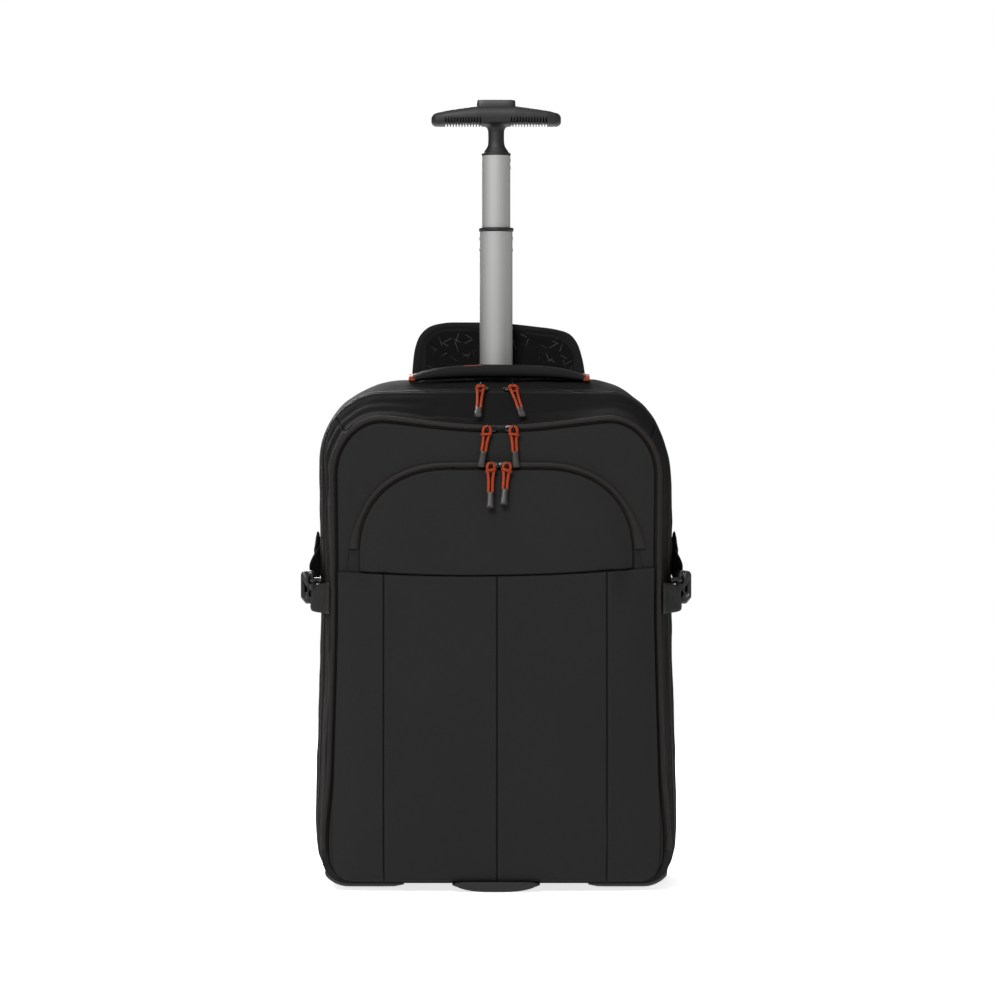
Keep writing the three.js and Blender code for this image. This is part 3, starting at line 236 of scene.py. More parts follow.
# %% Values with signs of arithmetic, and a bench for materials
class Value:
    """A number that varies over a surface, held by one socket."""

    def __init__(self, bench, socket):
        self.bench, self.socket = bench, socket

    def math(self, operation, *others):
        node = self.bench.node("Math", {"operation": operation}, dict(enumerate((self, *others))))
        return Value(self.bench, node.outputs[0])

    def __add__(self, other): return self.math("ADD", other)
    def __radd__(self, other): return self.math("ADD", other)
    def __sub__(self, other): return self.math("SUBTRACT", other)
    def __rsub__(self, other): return (self * -1).math("ADD", other)
    def __mul__(self, other): return self.math("MULTIPLY", other)
    def __rmul__(self, other): return self.math("MULTIPLY", other)
    def __truediv__(self, other): return self.math("DIVIDE", other)
    def __pow__(self, other): return self.math("POWER", other)
    def above(self, other): return self.math("GREATER_THAN", other)
    def below(self, other): return self.math("LESS_THAN", other)
    def most(self, other): return self.math("MAXIMUM", other)
    def sin(self): return self.math("SINE")
    def size(self): return self.math("ABSOLUTE")
    def part(self): return self.math("FRACT")

    def wave(self, pitch):
        """From 0 to 1 and back over each pitch: (1 + sin(2 pi v / pitch)) / 2."""
        return (self * (2 * np.pi / pitch)).sin() * 0.5 + 0.5

    def rise(self, low, high):
        """0 below low, 1 above high, smooth between."""
        node = self.bench.node("MapRange", {"interpolation_type": "SMOOTHSTEP"},
                               {"Value": self, "From Min": low, "From Max": high})
        return Value(self.bench, node.outputs[0])


class Bench:
    """A material that is being made. plain gives the shader's uniform values."""

    def __init__(self, name, **plain):
        self.material = bpy.data.materials.new(name)
        self.material.use_nodes = True
        self.nodes, self.links = self.material.node_tree.nodes, self.material.node_tree.links
        self.shader = self.nodes["Principled BSDF"]
        for key, value in plain.items():
            self.shader.inputs[key.replace("_", " ")].default_value = value

    def node(self, kind, settings=None, sockets=None):
        made = self.nodes.new("ShaderNode" + kind)
        for key, value in (settings or {}).items():
            setattr(made, key, value)
        for key, value in (sockets or {}).items():
            self.feed(made.inputs[key], value)
        return made

    def feed(self, socket, value):
        if isinstance(value, Value):
            value = value.socket
        if isinstance(value, bpy.types.NodeSocket):
            self.links.new(value, socket)
        else:
            socket.default_value = value

    def map(self, name):
        """The two values of one of the surface's own maps, in millimetres."""
        found = self.node("UVMap", {"uv_map": name})
        split = self.node("SeparateXYZ", None, {0: found.outputs[0]})
        return Value(self, split.outputs[0]), Value(self, split.outputs[1])

    def place(self):
        """The point's own x, y and z in metres."""
        found = self.node("TexCoord").outputs["Object"]
        split = self.node("SeparateXYZ", None, {0: found})
        return [Value(self, split.outputs[i]) for i in range(3)]

    def noise(self, scale, detail=2.0, rough=0.5, stretch=(1, 1, 1)):
        found = self.node("TexCoord").outputs["Object"]
        turned = self.node("Mapping", None, {"Vector": found, "Scale": stretch})
        grain = self.node("TexNoise", None, {"Vector": turned.outputs[0], "Scale": scale,
                                             "Detail": detail, "Roughness": rough})
        return Value(self, grain.outputs[0])

    def mix(self, factor, first, second):
        made = self.node("Mix", {"data_type": "RGBA"}, {0: factor, 6: first, 7: second})
        return made.outputs[2]

    def relief(self, height, distance, strength=1.0):
        """Bump of a height from 0 to 1 that stands for distance, in metres."""
        made = self.node("Bump", None,
                         {"Height": height, "Distance": distance, "Strength": strength})
        self.links.new(made.outputs[0], self.shader.inputs["Normal"])

    def colour(self, value):
        self.feed(self.shader.inputs["Base Color"], value)

    def rough(self, value):
        self.feed(self.shader.inputs["Roughness"], value)


def shade(grey, tint=(1.0, 1.0, 1.0)):
    """A linear colour from the grey of a picture, 0 to 255, and a tint."""
    part = grey / 255
    linear = part / 12.92 if part < 0.04045 else ((part + 0.055) / 1.055) ** 2.4
    return tuple(linear * t for t in tint) + (1.0,)


print("bench ready")

# %% [markdown]
# ## Cloths and finishes
# The body is a dense matt twill of polyester: diagonal ribs half a millimetre wide, so fine that
# from three metres only a soft grain is left. The twill follows the cloth map, as real threads
# do, and slow noise gives the slight cloudiness of a coated cloth. Stitches are short thick
# threads, a fixed distance beside each seam. They read the seam map.

# %% Twill
COOL = (0.97, 1.0, 1.03)
PLAIN = (1.0, 1.0, 0.99)
WARM = (1.09, 1.0, 0.91)


def twill(name, grey, pitch=0.9, relief=0.00012, gloss=0.1, stitches=2.6, tint=PLAIN):
    """Ribs along u + v of that pitch, crossed by slower ones along u - v, in two near greys.
    Stitches: a dash of 2.6 in 3.6 mm, 0.7 wide, at a distance from the seam."""
    b = Bench(name, Roughness=0.9, Specular_IOR_Level=gloss)
    u, v = b.map("UVMap")
    rib = (u + v).wave(pitch)
    cross = (u - v).wave(pitch * 2.4)
    cloud = b.noise(9, 4, 0.6)
    fleck = b.noise(900, 2, 0.6)
    light = cloud * 0.55 + rib * 0.2 + fleck * 0.25
    ground = b.mix(light, shade(grey * 0.86, tint), shade(grey * 1.13, tint))
    away, along = b.map("Seam")
    dash = (along / 3.6).part().below(0.72) * (1 - (away - stitches).size().rise(0.3, 0.55))
    there = dash * away.above(0.01)
    joint = away.above(0.01) * (1 - away.rise(0.45, 0.95))
    sewn = b.mix(there * 0.35, ground, shade(grey * 1.35, tint))
    b.colour(b.mix(joint * 0.9, sewn, shade(grey * 0.2, tint)))
    b.relief(rib * 0.5 + cross * 0.15 + there * 1.2 - joint * 2 + fleck * 0.5, relief)
    b.rough(0.84 + cloud * 0.1)
    return b.material


front_cloth = twill("front_cloth", 30)
# The compartments' walls take the front's twill with a darker grey, 21 against 30: painted shade
# for walls that turn away from the front light.
side_cloth = twill("side_cloth", 21, gloss=0.03)
handle_cloth = twill("handle_cloth", 24)
print("twills", front_cloth.name, side_cloth.name, handle_cloth.name)

# %% [markdown]
# ## Zip tape, webbing and piping
# A covered zip shows two things: a rounded, lighter edge of coated tape, and a dark slot beside
# it in which the coil runs. Both are one surface, and the distance across it picks the finish:
# the coil's teeth are a short wave along the slot. Webbing is a coarse weave: ribs across the
# band that shift by half a rib from thread to thread.

# %% Zip tape and webbing
def zip_tape(name, slot_from, slot_to, grey=50):
    """Smooth tape, brown in its grey, and between two distances across it a dark slot with a
    coil: a wave of 1.3 mm along it. Below 37 mm over the floor the zip has ended, and the band
    is plain cloth under a cross seam."""
    b = Bench(name, Roughness=0.62, Specular_IOR_Level=0.12)
    along, across = b.map("UVMap")
    slot = across.rise(slot_from - 0.25, slot_from) * (1 - across.rise(slot_to, slot_to + 0.25))
    tooth = along.wave(1.3) * slot
    grain = b.noise(300, 3, 0.6)
    tape = b.mix(grain, shade(grey * 0.84, WARM), shade(grey * 1.12, WARM))
    coil = b.mix(tooth, shade(9, WARM), shade(34, WARM))
    z = b.place()[2]
    ended = 1 - (z * 1000).rise(36.5, 37.5)
    end_seam = 1 - (z * 1000 - 38).size().rise(0.4, 0.8)
    band = b.mix(ended, b.mix(slot, tape, coil), shade(grey * 0.7, PLAIN))
    b.colour(b.mix(end_seam * 0.85, band, shade(6)))
    b.relief(tooth * (1 - ended) + grain * 0.12 + (along + across).wave(1.1) * 0.08, 0.0004)
    b.rough(0.55 + slot * 0.2)
    return b.material


def webbing(name, grey):
    """Ribs of 1.5 mm along the band, moved by half a rib from one 1.7 mm thread to the next."""
    b = Bench(name, Roughness=0.75, Specular_IOR_Level=0.25)
    u, v = b.map("UVMap")
    thread = (u / 1.7).part()
    step = (u / 3.4).part().above(0.5) * 0.75
    rib = (v + step).wave(1.5)
    high = rib * (1 - (thread - 0.5).size() * 1.4)
    b.colour(b.mix(high, shade(grey * 0.6), shade(grey * 1.25)))
    b.relief(high, 0.0004)
    return b.material


body_zip = zip_tape("body_zip", 4.8, 6.8, 28)
main_zip_tape = zip_tape("main_zip_tape", 2.5, 4.9, 12)
strap_web = webbing("strap_web", 26)
print("tapes", body_zip.name, main_zip_tape.name, strap_web.name)

# %% [markdown]
# ## Plastics, rubber and metal
# Moulded parts have a fine leather-like grain from the mould, and their gloss wanders a little
# in slow patches. The pole is an aluminium tube, drawn and anodised: the drawing leaves faint
# lines along it, and the finish is satin. Rubber is matt.

# %% Moulded and drawn finishes
def moulded(name, grey, roughness=0.5, grain=1600, relief=0.00006, tint=COOL):
    b = Bench(name, Specular_IOR_Level=0.38)
    fine, slow = b.noise(grain, 3, 0.55), b.noise(30, 3, 0.6)
    b.colour(b.mix(slow, shade(grey * 0.88, tint), shade(grey * 1.12, tint)))
    b.rough(roughness - 0.06 + slow * 0.12)
    b.relief(fine, relief)
    return b.material


def drawn_metal(name):
    """Fine lines along the tube: noise stretched forty times along z."""
    b = Bench(name, Metallic=1.0)
    line = b.noise(700, 3, 0.6, (1, 1, 0.012))
    slow = b.noise(14, 2, 0.5)
    b.colour(b.mix(line, (0.33, 0.33, 0.322, 1), (0.39, 0.39, 0.382, 1)))
    b.rough(0.64 + line * 0.06 + slow * 0.04)
    b.relief(line, 0.00003)
    return b.material


grip_plastic = moulded("grip_plastic", 14, 0.55)
button_plastic = moulded("button_plastic", 28, 0.42)
dark_plastic = moulded("dark_plastic", 24, 0.42)
buckle_plastic = moulded("buckle_plastic", 26, 0.36)
slider_lacquer = moulded("slider_lacquer", 18, 0.16, 400, 0.00002)
foot_rubber = moulded("foot_rubber", 22, 0.75, 700, 0.00015, PLAIN)
tyre_rubber = moulded("tyre_rubber", 26, 0.8, 900, 0.0002)
end_rubber = moulded("end_rubber", 36, 0.45, 900, 0.00008, WARM)
pole_metal = drawn_metal("pole_metal")
print("finishes", len(bpy.data.materials))

# %% [markdown]
# ## The pull cords
# Each of the six zip pulls is a round braided cord, doubled and hitched on its slider: one loop
# passes under the slider's bail, and the two strands hang side by side into a moulded end piece.
# The route is the CAD's own, a smooth curve through a few points. The cord is a tube carried
# along it, and a collar of the same cord is wrapped round the strands under the loop.

# %% Curves through points, and tubes along them
def curve_through(points, count):
    """Catmull-Rom with steps weighed by the square root of their length, as in the CAD: each
    stretch is a blend of the four points about it, and the samples are evenly spaced."""
    p = np.asarray(points, float)
    p = np.concatenate([[2 * p[0] - p[1]], p, [2 * p[-1] - p[-2]]])
    knots = np.concatenate([[0], np.cumsum(np.linalg.norm(np.diff(p, axis=0), axis=1) ** 0.5)])
    t = np.linspace(knots[1], knots[-2], 1200)
    i = np.clip(np.searchsorted(knots, t, "right") - 1, 1, len(p) - 3)
    k = [knots[i + j][:, None] for j in (-1, 0, 1, 2)]
    q, t = [p[i + j] for j in (-1, 0, 1, 2)], t[:, None]
    blend = lambda a, b, ta, tb: (tb - t) / (tb - ta) * a + (t - ta) / (tb - ta) * b
    a1, a2, a3 = (blend(q[j], q[j + 1], k[j], k[j + 1]) for j in range(3))
    b1, b2 = blend(a1, a2, k[0], k[2]), blend(a2, a3, k[1], k[3])
    line = blend(b1, b2, k[1], k[2])
    walked = spans(line[None], 1)[0]
    even = np.linspace(0, walked[-1], count)
    return np.stack([np.interp(even, walked, line[:, c]) for c in range(3)], -1)


def tube(line, radius, around=14, up=(0, 1, 0), closed=False):
    """Circles of a radius about a line, in the plane across it. up fixes where they start. The
    run of a closed line is taken across its joint as well."""
    run = np.roll(line, -1, 0) - np.roll(line, 1, 0) if closed else np.gradient(line, axis=0)
    run /= np.linalg.norm(run, axis=1, keepdims=True)
    side = np.cross(run, up)
    side /= np.linalg.norm(side, axis=1, keepdims=True)
    over = np.cross(side, run)
    a = np.arange(around) / around * 2 * np.pi
    radius = np.broadcast_to(np.asarray(radius, float), (len(line),))[:, None, None]
    return (line[:, None]
            + radius * (side[:, None] * np.cos(a)[:, None] + over[:, None] * np.sin(a)[:, None]))


def braided(name):
    """Two sets of threads that wind round the cord against each other, 1.5 mm apart."""
    b = Bench(name, Roughness=0.7, Specular_IOR_Level=0.2)
    u, v = b.map("UVMap")
    one, two = (v + u * 0.9).wave(1.5), (v - u * 0.9).wave(1.5)
    braid = one.most(two)
    slow = b.noise(160, 2, 0.6)
    dark, light = (0.10, 0.008, 0.0025, 1), (0.37, 0.046, 0.009, 1)
    b.colour(b.mix(braid * 0.7 + slow * 0.3, dark, light))
    b.relief(braid, 0.00022)
    return b.material


orange_cord = braided("orange_cord")
print("cord finish", orange_cord.name)

# %% Seats of the pulls
SLIDER_L, SLIDER_H, CORD_D, BAIL, FIT = 9.0, 3.0, 2.7, 1.2, 0.3
CORD_OUT = SLIDER_H + FIT + CORD_D / 2
LOOP_Z = SLIDER_L / 2 - 0.4 - BAIL - FIT - CORD_D / 2
CORD_SPREAD, CORD_LOOP, CORD_REACH = 1.9, 3.3, 28.0
PULLS = [("a_left", "main", -0.043, 2, 1.77), ("a_right", "main", 0.046, -8, 1.77),
         ("b_left", "middle", -0.024, 9, 0.82), ("b_right", "middle", 0.047, -4, 0.82),
         ("c_left", "pocket", -0.014, 1, 1.00), ("c_right", "pocket", 0.030, 5, 0.89)]
SEATS = {"main": (-1.0, 62, 0.0), "middle": (-62.2, 4, SLIDER_L / 2),
         "pocket": (-66.5, 15, SLIDER_L / 2)}
SEAT_Z = {"main": lambda x: BASE + (0.969 + 0.006 * (1 - (x / 110.25) ** 2)) * HIGH - 0.6,
          "middle": lambda x: BASE + (0.9205 - 0.0188) * HIGH - 3.45,
          "pocket": lambda x: BASE + 0.814 * HIGH + 3.55}


def seated(points, zip_name, x, swing):
    """From the pull's own space, hanging down -z with -y out of the cloth, to its seat: turned
    about y by the swing, then about x by the lean, then moved."""
    y, lean, half = SEATS[zip_name]
    s, l = np.radians(swing), np.radians(-lean)
    about_y = np.array([[np.cos(s), 0, np.sin(s)], [0, 1, 0], [-np.sin(s), 0, np.cos(s)]])
    about_x = np.array([[1, 0, 0], [0, np.cos(l), -np.sin(l)], [0, np.sin(l), np.cos(l)]])
    seat = np.array([x, y - half * np.sin(np.radians(lean)), SEAT_Z[zip_name](x)])
    return np.asarray(points) @ (about_x @ about_y).T + seat


def cord_route(reach):
    """Up one strand, through the loop's top and down the other."""
    side = np.array([(CORD_SPREAD, -reach), (CORD_SPREAD, -0.66 * reach),
                     (CORD_SPREAD + 0.5, -0.38 * reach), (CORD_LOOP, -SLIDER_L / 2),
                     (CORD_LOOP, LOOP_Z - CORD_LOOP + 0.6), (0.62 * CORD_LOOP, LOOP_Z - 0.5)])
    points = np.concatenate([side * (-1, 1), [(0, LOOP_Z)], side[::-1]])
    return np.insert(points, 1, -CORD_OUT, 1)


for name, zip_name, at, swing, _ in PULLS:
    first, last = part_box("zip_slider_" + name)
    print(name, "seat", seated([(0, 0, 0)], zip_name, at * WIDE, swing).round(1).tolist()[0],
          "node", [round(v * 1000, 1) for v in (first + last) / 2])

# %% [markdown]
# The hitch is a short turn of the same cord round both strands, just under the loop. It is a ring
# through the same kind of curve.

# %% Cords with their hitches
def rounded_loop(centre, wide, deep, tilt, count=40):
    """A flat ring of half widths wide and deep, tilted over x: (w cos a, d sin a, t cos a)."""
    a = np.arange(count) / count * 2 * np.pi
    return np.asarray(centre) + np.stack([wide * np.cos(a), deep * np.sin(a), tilt * np.cos(a)], 1)


pulls = {}
for name, zip_name, at, swing, reach in PULLS:
    line = curve_through(cord_route(reach * CORD_REACH), 120)
    place = lambda shape, z=zip_name, x=at * WIDE, turn=swing: seated(shape, z, x, turn)
    cord = surface("cord_" + name, place(tube(line, CORD_D / 2)), ring=True, fans=(True, True))
    outwards(cord)
    tilt = 0.9 if name.endswith("left") else -0.9
    turn_round = rounded_loop((0.1, -CORD_OUT, -6.2), 4.3, 2.6, tilt)
    hitch = tube(turn_round, 1.2, 10, up=(0, 0, 1), closed=True)
    wrap = outwards(surface("hitch_" + name, place(hitch), ring=True, loop=True))
    for piece in (cord, wrap):
        wear(piece, orange_cord)
    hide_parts("pull_cord_" + name)
    pulls[name] = (cord, wrap, place, line, reach * CORD_REACH)
    print(cord.name, "length", round(spans(line[None], 1)[0, -1], 1), "mm")

# %% [markdown]
# The end piece is soft moulded rubber: a flat sleeve, round where the strands go in and wider
# and flatter at its lower edge. The slider is a small lacquered casting: a body that widens
# towards one end, and a bail that bridges it. Its two flanges run along the zip.

# %% Ends of the cords
def sleeve(reach):
    """Superellipse rings down the sleeve. Half width 2.9 at the mouth, 3.6 near the foot; half
    thickness 2.0 to 2.3; the last rings round the foot off."""
    down = np.array([0, 0, .04, .2, .45, .7, .88, .95, .985, 1.0])
    wide = np.array([2.3, 2.75, 2.95, 3.0, 3.1, 3.35, 3.65, 3.6, 3.3, 2.7])
    deep = np.array([1.5, 1.9, 2.1, 2.1, 2.1, 2.15, 2.2, 2.1, 1.8, 1.3])
    a = np.arange(28) / 28 * 2 * np.pi
    bend = lambda v: np.sign(v) * np.abs(v) ** 0.72
    x, y = wide[:, None] * bend(np.cos(a)), deep[:, None] * bend(np.sin(a)) - CORD_OUT
    z = np.broadcast_to((-reach + 0.4 - down * 15.4)[:, None], x.shape)
    return np.stack([x, y, z], -1)


for name, (cord, wrap, place, line, reach) in pulls.items():
    end = outwards(surface("end_" + name, place(sleeve(reach)), ring=True, fans=(True, True)))
    wear(end, end_rubber, stands_for=["pull_end_" + name])
    modifier(end, "SUBSURF", levels=1, render_levels=1)
    tuple(metres(place([(-CORD_SPREAD, -CORD_OUT, -reach)])[0]))
    float(spans(line[None], 1)[0, -1]) / 1000
    metres(place(line)).tolist()
print("ends", len(pulls))

# %% Sliders
def casting():
    """The body lies along the zip: half length 5.2 along x, half height w(x) along z, 2.9 high,
    with its upper edges rounded. w is 3.5 at the shoulder and 2.5 at the nose."""
    along = np.linspace(-1, 1, 21)
    half = 3.0 + 0.5 * np.cos(along * 2.4 + 0.5)
    half *= np.sqrt(np.clip(1.02 - np.abs(along) ** 6, 0.05, 1))
    profile = np.array([(-1, 0), (-1, 0.55), (-0.9, 0.86), (-0.6, 1), (0.6, 1), (0.9, 0.86),
                        (1, 0.55), (1, 0)])
    x = np.broadcast_to((along * 5.2)[:, None], (21, 8))
    z = half[:, None] * profile[:, 0]
    y = -(0.1 + 2.8 * profile[:, 1]) * np.sqrt(np.clip(1.1 - 0.5 * along[:, None] ** 4, 0, 1))
    return np.stack([x, y, z], -1)


def bail():
    """A flat arch from the body's lower edge over the cord to its upper edge."""
    out = CORD_OUT + CORD_D / 2 + FIT + BAIL / 2
    line = curve_through([(0, -2.2, -3.5), (0, -4.6, -3.7), (0, -out + 0.5, -3.0), (0, -out, -1.0),
                          (0, -out, 1.4), (0, -out + 0.6, 3.1), (0, -4.6, 3.6), (0, -2.2, 3.4)], 48)
    return tube(line, 0.62, 10, up=(1, 0, 0))


for name, (_, _, place, _, _) in pulls.items():
    flip = (1, 1, 1) if name.endswith("left") else (-1, 1, 1)
    inward = np.array((3.6, 0, 0)) * flip
    parts = [outwards(surface("body_" + name, place(casting() * flip + inward), ring=True,
                              fans=(True, True))),
             outwards(surface("bail_" + name, place(bail()), ring=True, fans=(True, True)))]
    slider = joined("slider_" + name, parts)
    wear(slider, slider_lacquer, stands_for=["zip_slider_" + name])
    modifier(slider, "SUBSURF", levels=1, render_levels=1)
print("sliders", len(pulls))

# %% [markdown]
# ## The bag's outline
# The bag is one soft tube, cut square at the front and rounded at the back. Its outline at a
# depth y has a flat base, round lower corners, sides that swell low down, shoulders that are
# longer on the right, and a top that dips or rises a little. The CAD gives each of these as a
# table. The same tables are read here, with their corners averaged away, and four times as many
# points go round, so that the cloth runs smoothly.

# %% Tables of the outline
AT = np.array([-60, -34.8, 0, 34.8, 60, 108])
TABLE = {
    "width": (0.912, 0.932, 0.966, 0.997, 1.000, 0.994),
    "top": (0.9205, 0.936, 0.969, 0.990, 1.000, 1.000),
    "corner_w": (0.143, 0.154, 0.168, 0.220, 0.234, 0.234),
    "corner_l": (0.120, 0.120, 0.126, 0.156, 0.160, 0.160),
    "corner_r": (0.120, 0.144, 0.181, 0.224, 0.228, 0.228),
    "base_r": (0.066, 0.071, 0.077, 0.083, 0.083, 0.083),
    "sag": (0.0188, 0.010, -0.006, -0.002, 0.000, 0.000),
    "flare": (0.036, 0.024, 0.010, 0.000, 0.000, 0.000),
}


def eased(xs, ys, reach):
    """Straight lines through the points, drawn out past both ends, then averaged with a bell
    window of that reach: no corner is left, and the ends keep their values."""
    xs, ys = np.asarray(xs, float), np.asarray(ys, float)
    far = 3 * reach
    before = ys[0] - far * (ys[1] - ys[0]) / (xs[1] - xs[0])
    after = ys[-1] + far * (ys[-1] - ys[-2]) / (xs[-1] - xs[-2])
    fine = np.linspace(xs[0] - far, xs[-1] + far, 2001)
    raw = np.interp(fine, [xs[0] - far, *xs, xs[-1] + far], [before, *ys, after])
    n = max(1, int(reach / (fine[1] - fine[0])))
    bell = np.hanning(2 * n + 3)[1:-1]
    soft = np.convolve(np.pad(raw, n, "reflect", reflect_type="odd"), bell / bell.sum(), "valid")
    return lambda v: np.interp(v, fine, soft)


SECTION = {key: eased(AT, values, 14) for key, values in TABLE.items()}
swell_at = eased([0, .08, .22, .38, .53, .68, .84, 1], [0, .020, .016, 0, -.011, -.006, 0, 0], 0.06)


def swell(z, flare):
    """How much wider the side stands at a height: the table's share, and the flare low down."""
    h = (z - BASE) / HIGH
    t = np.clip((h - 0.06) / 0.18, 0, 1)
    return 1 + swell_at(h) + flare * (1 - t * t * (3 - 2 * t))


def outline(y, inset=0.0):
    """Rings of the bag at depths y, moved inwards by inset: base, lower corner as a quarter
    circle, side, shoulder as a quarter ellipse, and the top less sag (1 - u^2)^1.5, then the
    same on the left the other way round. Returns points[depth, place]."""
    y = np.atleast_1d(np.asarray(y, float))[:, None]
    inset = np.broadcast_to(np.asarray(inset, float).reshape(-1, 1), y.shape)
    s = {key: f(y) for key, f in SECTION.items()}
    half, base, top = s["width"] * WIDE / 2 - inset, BASE + inset, BASE + s["top"] * HIGH - inset
    low_r = np.maximum(s["base_r"] * WIDE - inset, 2)
    corner_w = s["corner_w"] * WIDE - inset
    flat, sag = half - corner_w, s["sag"] * HIGH

    def side(corner):
        corner = corner * HIGH - inset
        t = lambda n: np.arange(n)[None] / n
        a, b = t(12) * np.pi / 2, t(30) * np.pi / 2
        u = 1 - np.arange(25)[None] / 24
        x = [(half - low_r) * t(16), half - low_r + low_r * np.sin(a), half + 0 * t(48),
             flat + corner_w * np.cos(b), flat * u]
        z = [base + 0 * t(16), base + low_r * (1 - np.cos(a)),
             base + low_r + (top - corner - base - low_r) * t(48),
             top - corner + corner * np.sin(b), top - sag * np.clip(1 - u * u, 0, 1) ** 1.5]
        return np.concatenate(x, 1), np.concatenate(z, 1)

    (xr, zr), (xl, zl) = side(s["corner_r"]), side(s["corner_l"])
    x = np.concatenate([xr, -xl[:, -2:0:-1]], 1)
    z = np.concatenate([zr, zl[:, -2:0:-1]], 1)
    return np.stack([x * swell(z, s["flare"]), np.broadcast_to(y, x.shape), z], -1)


def side_x(y, z):
    """Half width of the bag's side at a depth and a height."""
    return SECTION["width"](y) * WIDE / 2 * swell(z, SECTION["flare"](y))


ring = outline([0.0])[0]
print("outline", ring.shape[0], "points, half width", ring[:, 0].max().round(1), "top",
      ring[:, 2].max().round(1))

# %% [markdown]
# Cloth is never quite smooth. A lattice of fixed random heights, blended between its points,
# gives slow hills, and the same lattice stretched one way gives folds. The surface is moved
# along its own outward direction in the plane of the ring.

# %% Hills and folds
def hills(u, v, size, seed, size_v=None):
    """Random heights on a lattice, blended with 3t^2 - 2t^3 between its points, from -1 to 1."""
    table = np.random.default_rng(seed).uniform(-1, 1, (67, 71))
    a, b = np.asarray(u, float) / size, np.asarray(v, float) / (size_v or size)
    i, j = np.floor(a).astype(int), np.floor(b).astype(int)
    s, t = a - i, b - j
    s, t = s * s * (3 - 2 * s), t * t * (3 - 2 * t)
    pick = lambda p, q: table[(i + p) % 67, (j + q) % 71]
    return ((pick(0, 0) * (1 - s) + pick(1, 0) * s) * (1 - t)
            + (pick(0, 1) * (1 - s) + pick(1, 1) * s) * t)


def dent(distance, depth=1.0, reach=1.3, swell_by=0.35, swell_reach=6.0):
    """A sewn line: the cloth is drawn in by depth and puffs up on both sides of it."""
    d = np.abs(distance)
    return (-depth * np.exp(-(d / reach) ** 2)
            + swell_by * np.exp(-((d - swell_reach) / swell_reach) ** 2))


def ring_out(points):
    """Outward directions of rings in their own plane: (dz, 0, -dx), one unit long."""
    d = np.roll(points, -1, 1) - np.roll(points, 1, 1)
    n = np.stack([d[..., 2], np.zeros(d.shape[:2]), -d[..., 0]], -1)
    return n / np.linalg.norm(n, axis=-1, keepdims=True)


print("hills", hills(np.linspace(0, 300, 4), np.zeros(4), 50, 3).round(2))

# %% [markdown]
# ## The compartments
# The rear compartment is a tray of cloth: its side wall runs from the main zip to a rounded back
# edge and closes in the back wall. It could be a sheet with a Solidify modifier, but the wheel
# wells and the pole's mouth are cut through it, and a cut needs a closed solid. So the grid runs
# from the inner middle over the front rim to the outer middle in one go. A piping cord marks the
# joint of the side wall and the back.

# %% Rear compartment
EDGE = 3.8                                   # where the side wall meets the main zip's tape
y_side = np.concatenate([EDGE + 0.8 * np.array([0, .5]), np.linspace(5.2, 104, 58)])
turn = np.linspace(0.06, 1, 14) * np.pi / 2
y_out = np.concatenate([y_side, 106 + 14 * np.sin(turn)])
in_out = np.concatenate([0 * y_side, 10 * (1 - np.cos(turn))])
in_out[:2] = (0.9, 0.25)
outer = outline(np.minimum(y_out, 106), in_out)
outer[..., 1] = y_out[:, None]
around = spans(outer, 1)
deep = y_out[:, None] + 0 * around
calm = np.clip((deep - 6) / 22, 0, 1) * np.clip((116 - deep) / 14, 0, 1)
low = np.clip((outer[..., 2] - 80) / 60, 0, 1)
fold = 1.2 * hills(around, deep, 60, 11) + 1.3 * hills(around, deep, 15, 12, 70) * (1 - low * 0.35)
piping = 1.1 * np.exp(-((deep - 109.5) / 1.5) ** 2)
outer = outer + ring_out(outer) * (fold * calm * (0.6 + 0.4 * low) + piping)[..., None]
middle = np.array([0, 120, 245.0])
shrink = np.array([.97, .9, .75, .5, .25, .08])[:, None, None]
back_wall = middle + (outer[-1:] - middle) * shrink
inner = outline(np.minimum(y_out, 106)[::2], in_out[::2] + 2.4)
inner[..., 1] = np.minimum(y_out[::2], 117.4)[:, None]
inner_wall = np.array([0, 117.4, 245.0]) + (inner[-1:] - (0, 117.4, 245.0)) * shrink
tray = np.concatenate([inner_wall[::-1], inner[::-1], outer, back_wall])
past_rim = np.abs(tray[..., 1] - EDGE) + 0.02
rear = surface("rear_compartment", tray, ring=True, fans=(True, True),
               seam=np.stack([past_rim, spans(tray, 1)], -1))
outwards(rear)
print("rear compartment", len(rear.data.polygons), "faces")

# %% Wheel wells and the pole's mouth are cut out
WHEEL_X, WHEEL_Y, WHEEL_R, WELL_R, WELL_HALF = 129.0, 105.0, 32.0, 37.8, 15.3


def oval(width, depth, z, centre=POLE_Y, count=72):
    """Rings (w/2 cos a, d/2 sin a) about the pole, one for each height z."""
    a = np.arange(count) / count * 2 * np.pi
    width, depth, z = (np.asarray(v, float).reshape(-1, 1)
                       for v in np.broadcast_arrays(width, depth, z))
    return np.stack([width / 2 * np.cos(a), centre + depth / 2 * np.sin(a), z + 0 * a], -1)


def well(x, radius, half, low):
    """The room of a wheel: an arch over the axle, straight down in front and open behind."""
    a = np.linspace(np.pi, 0, 40)
    y = np.concatenate([[WHEEL_Y - radius], WHEEL_Y + radius * np.cos(a), [WHEEL_Y + radius]])
    z = np.concatenate([[low], WHEEL_R + radius * np.sin(a), [low]])
    return np.stack([np.stack([0 * y + x + side * half, y, z], -1) for side in (-1, 1)])


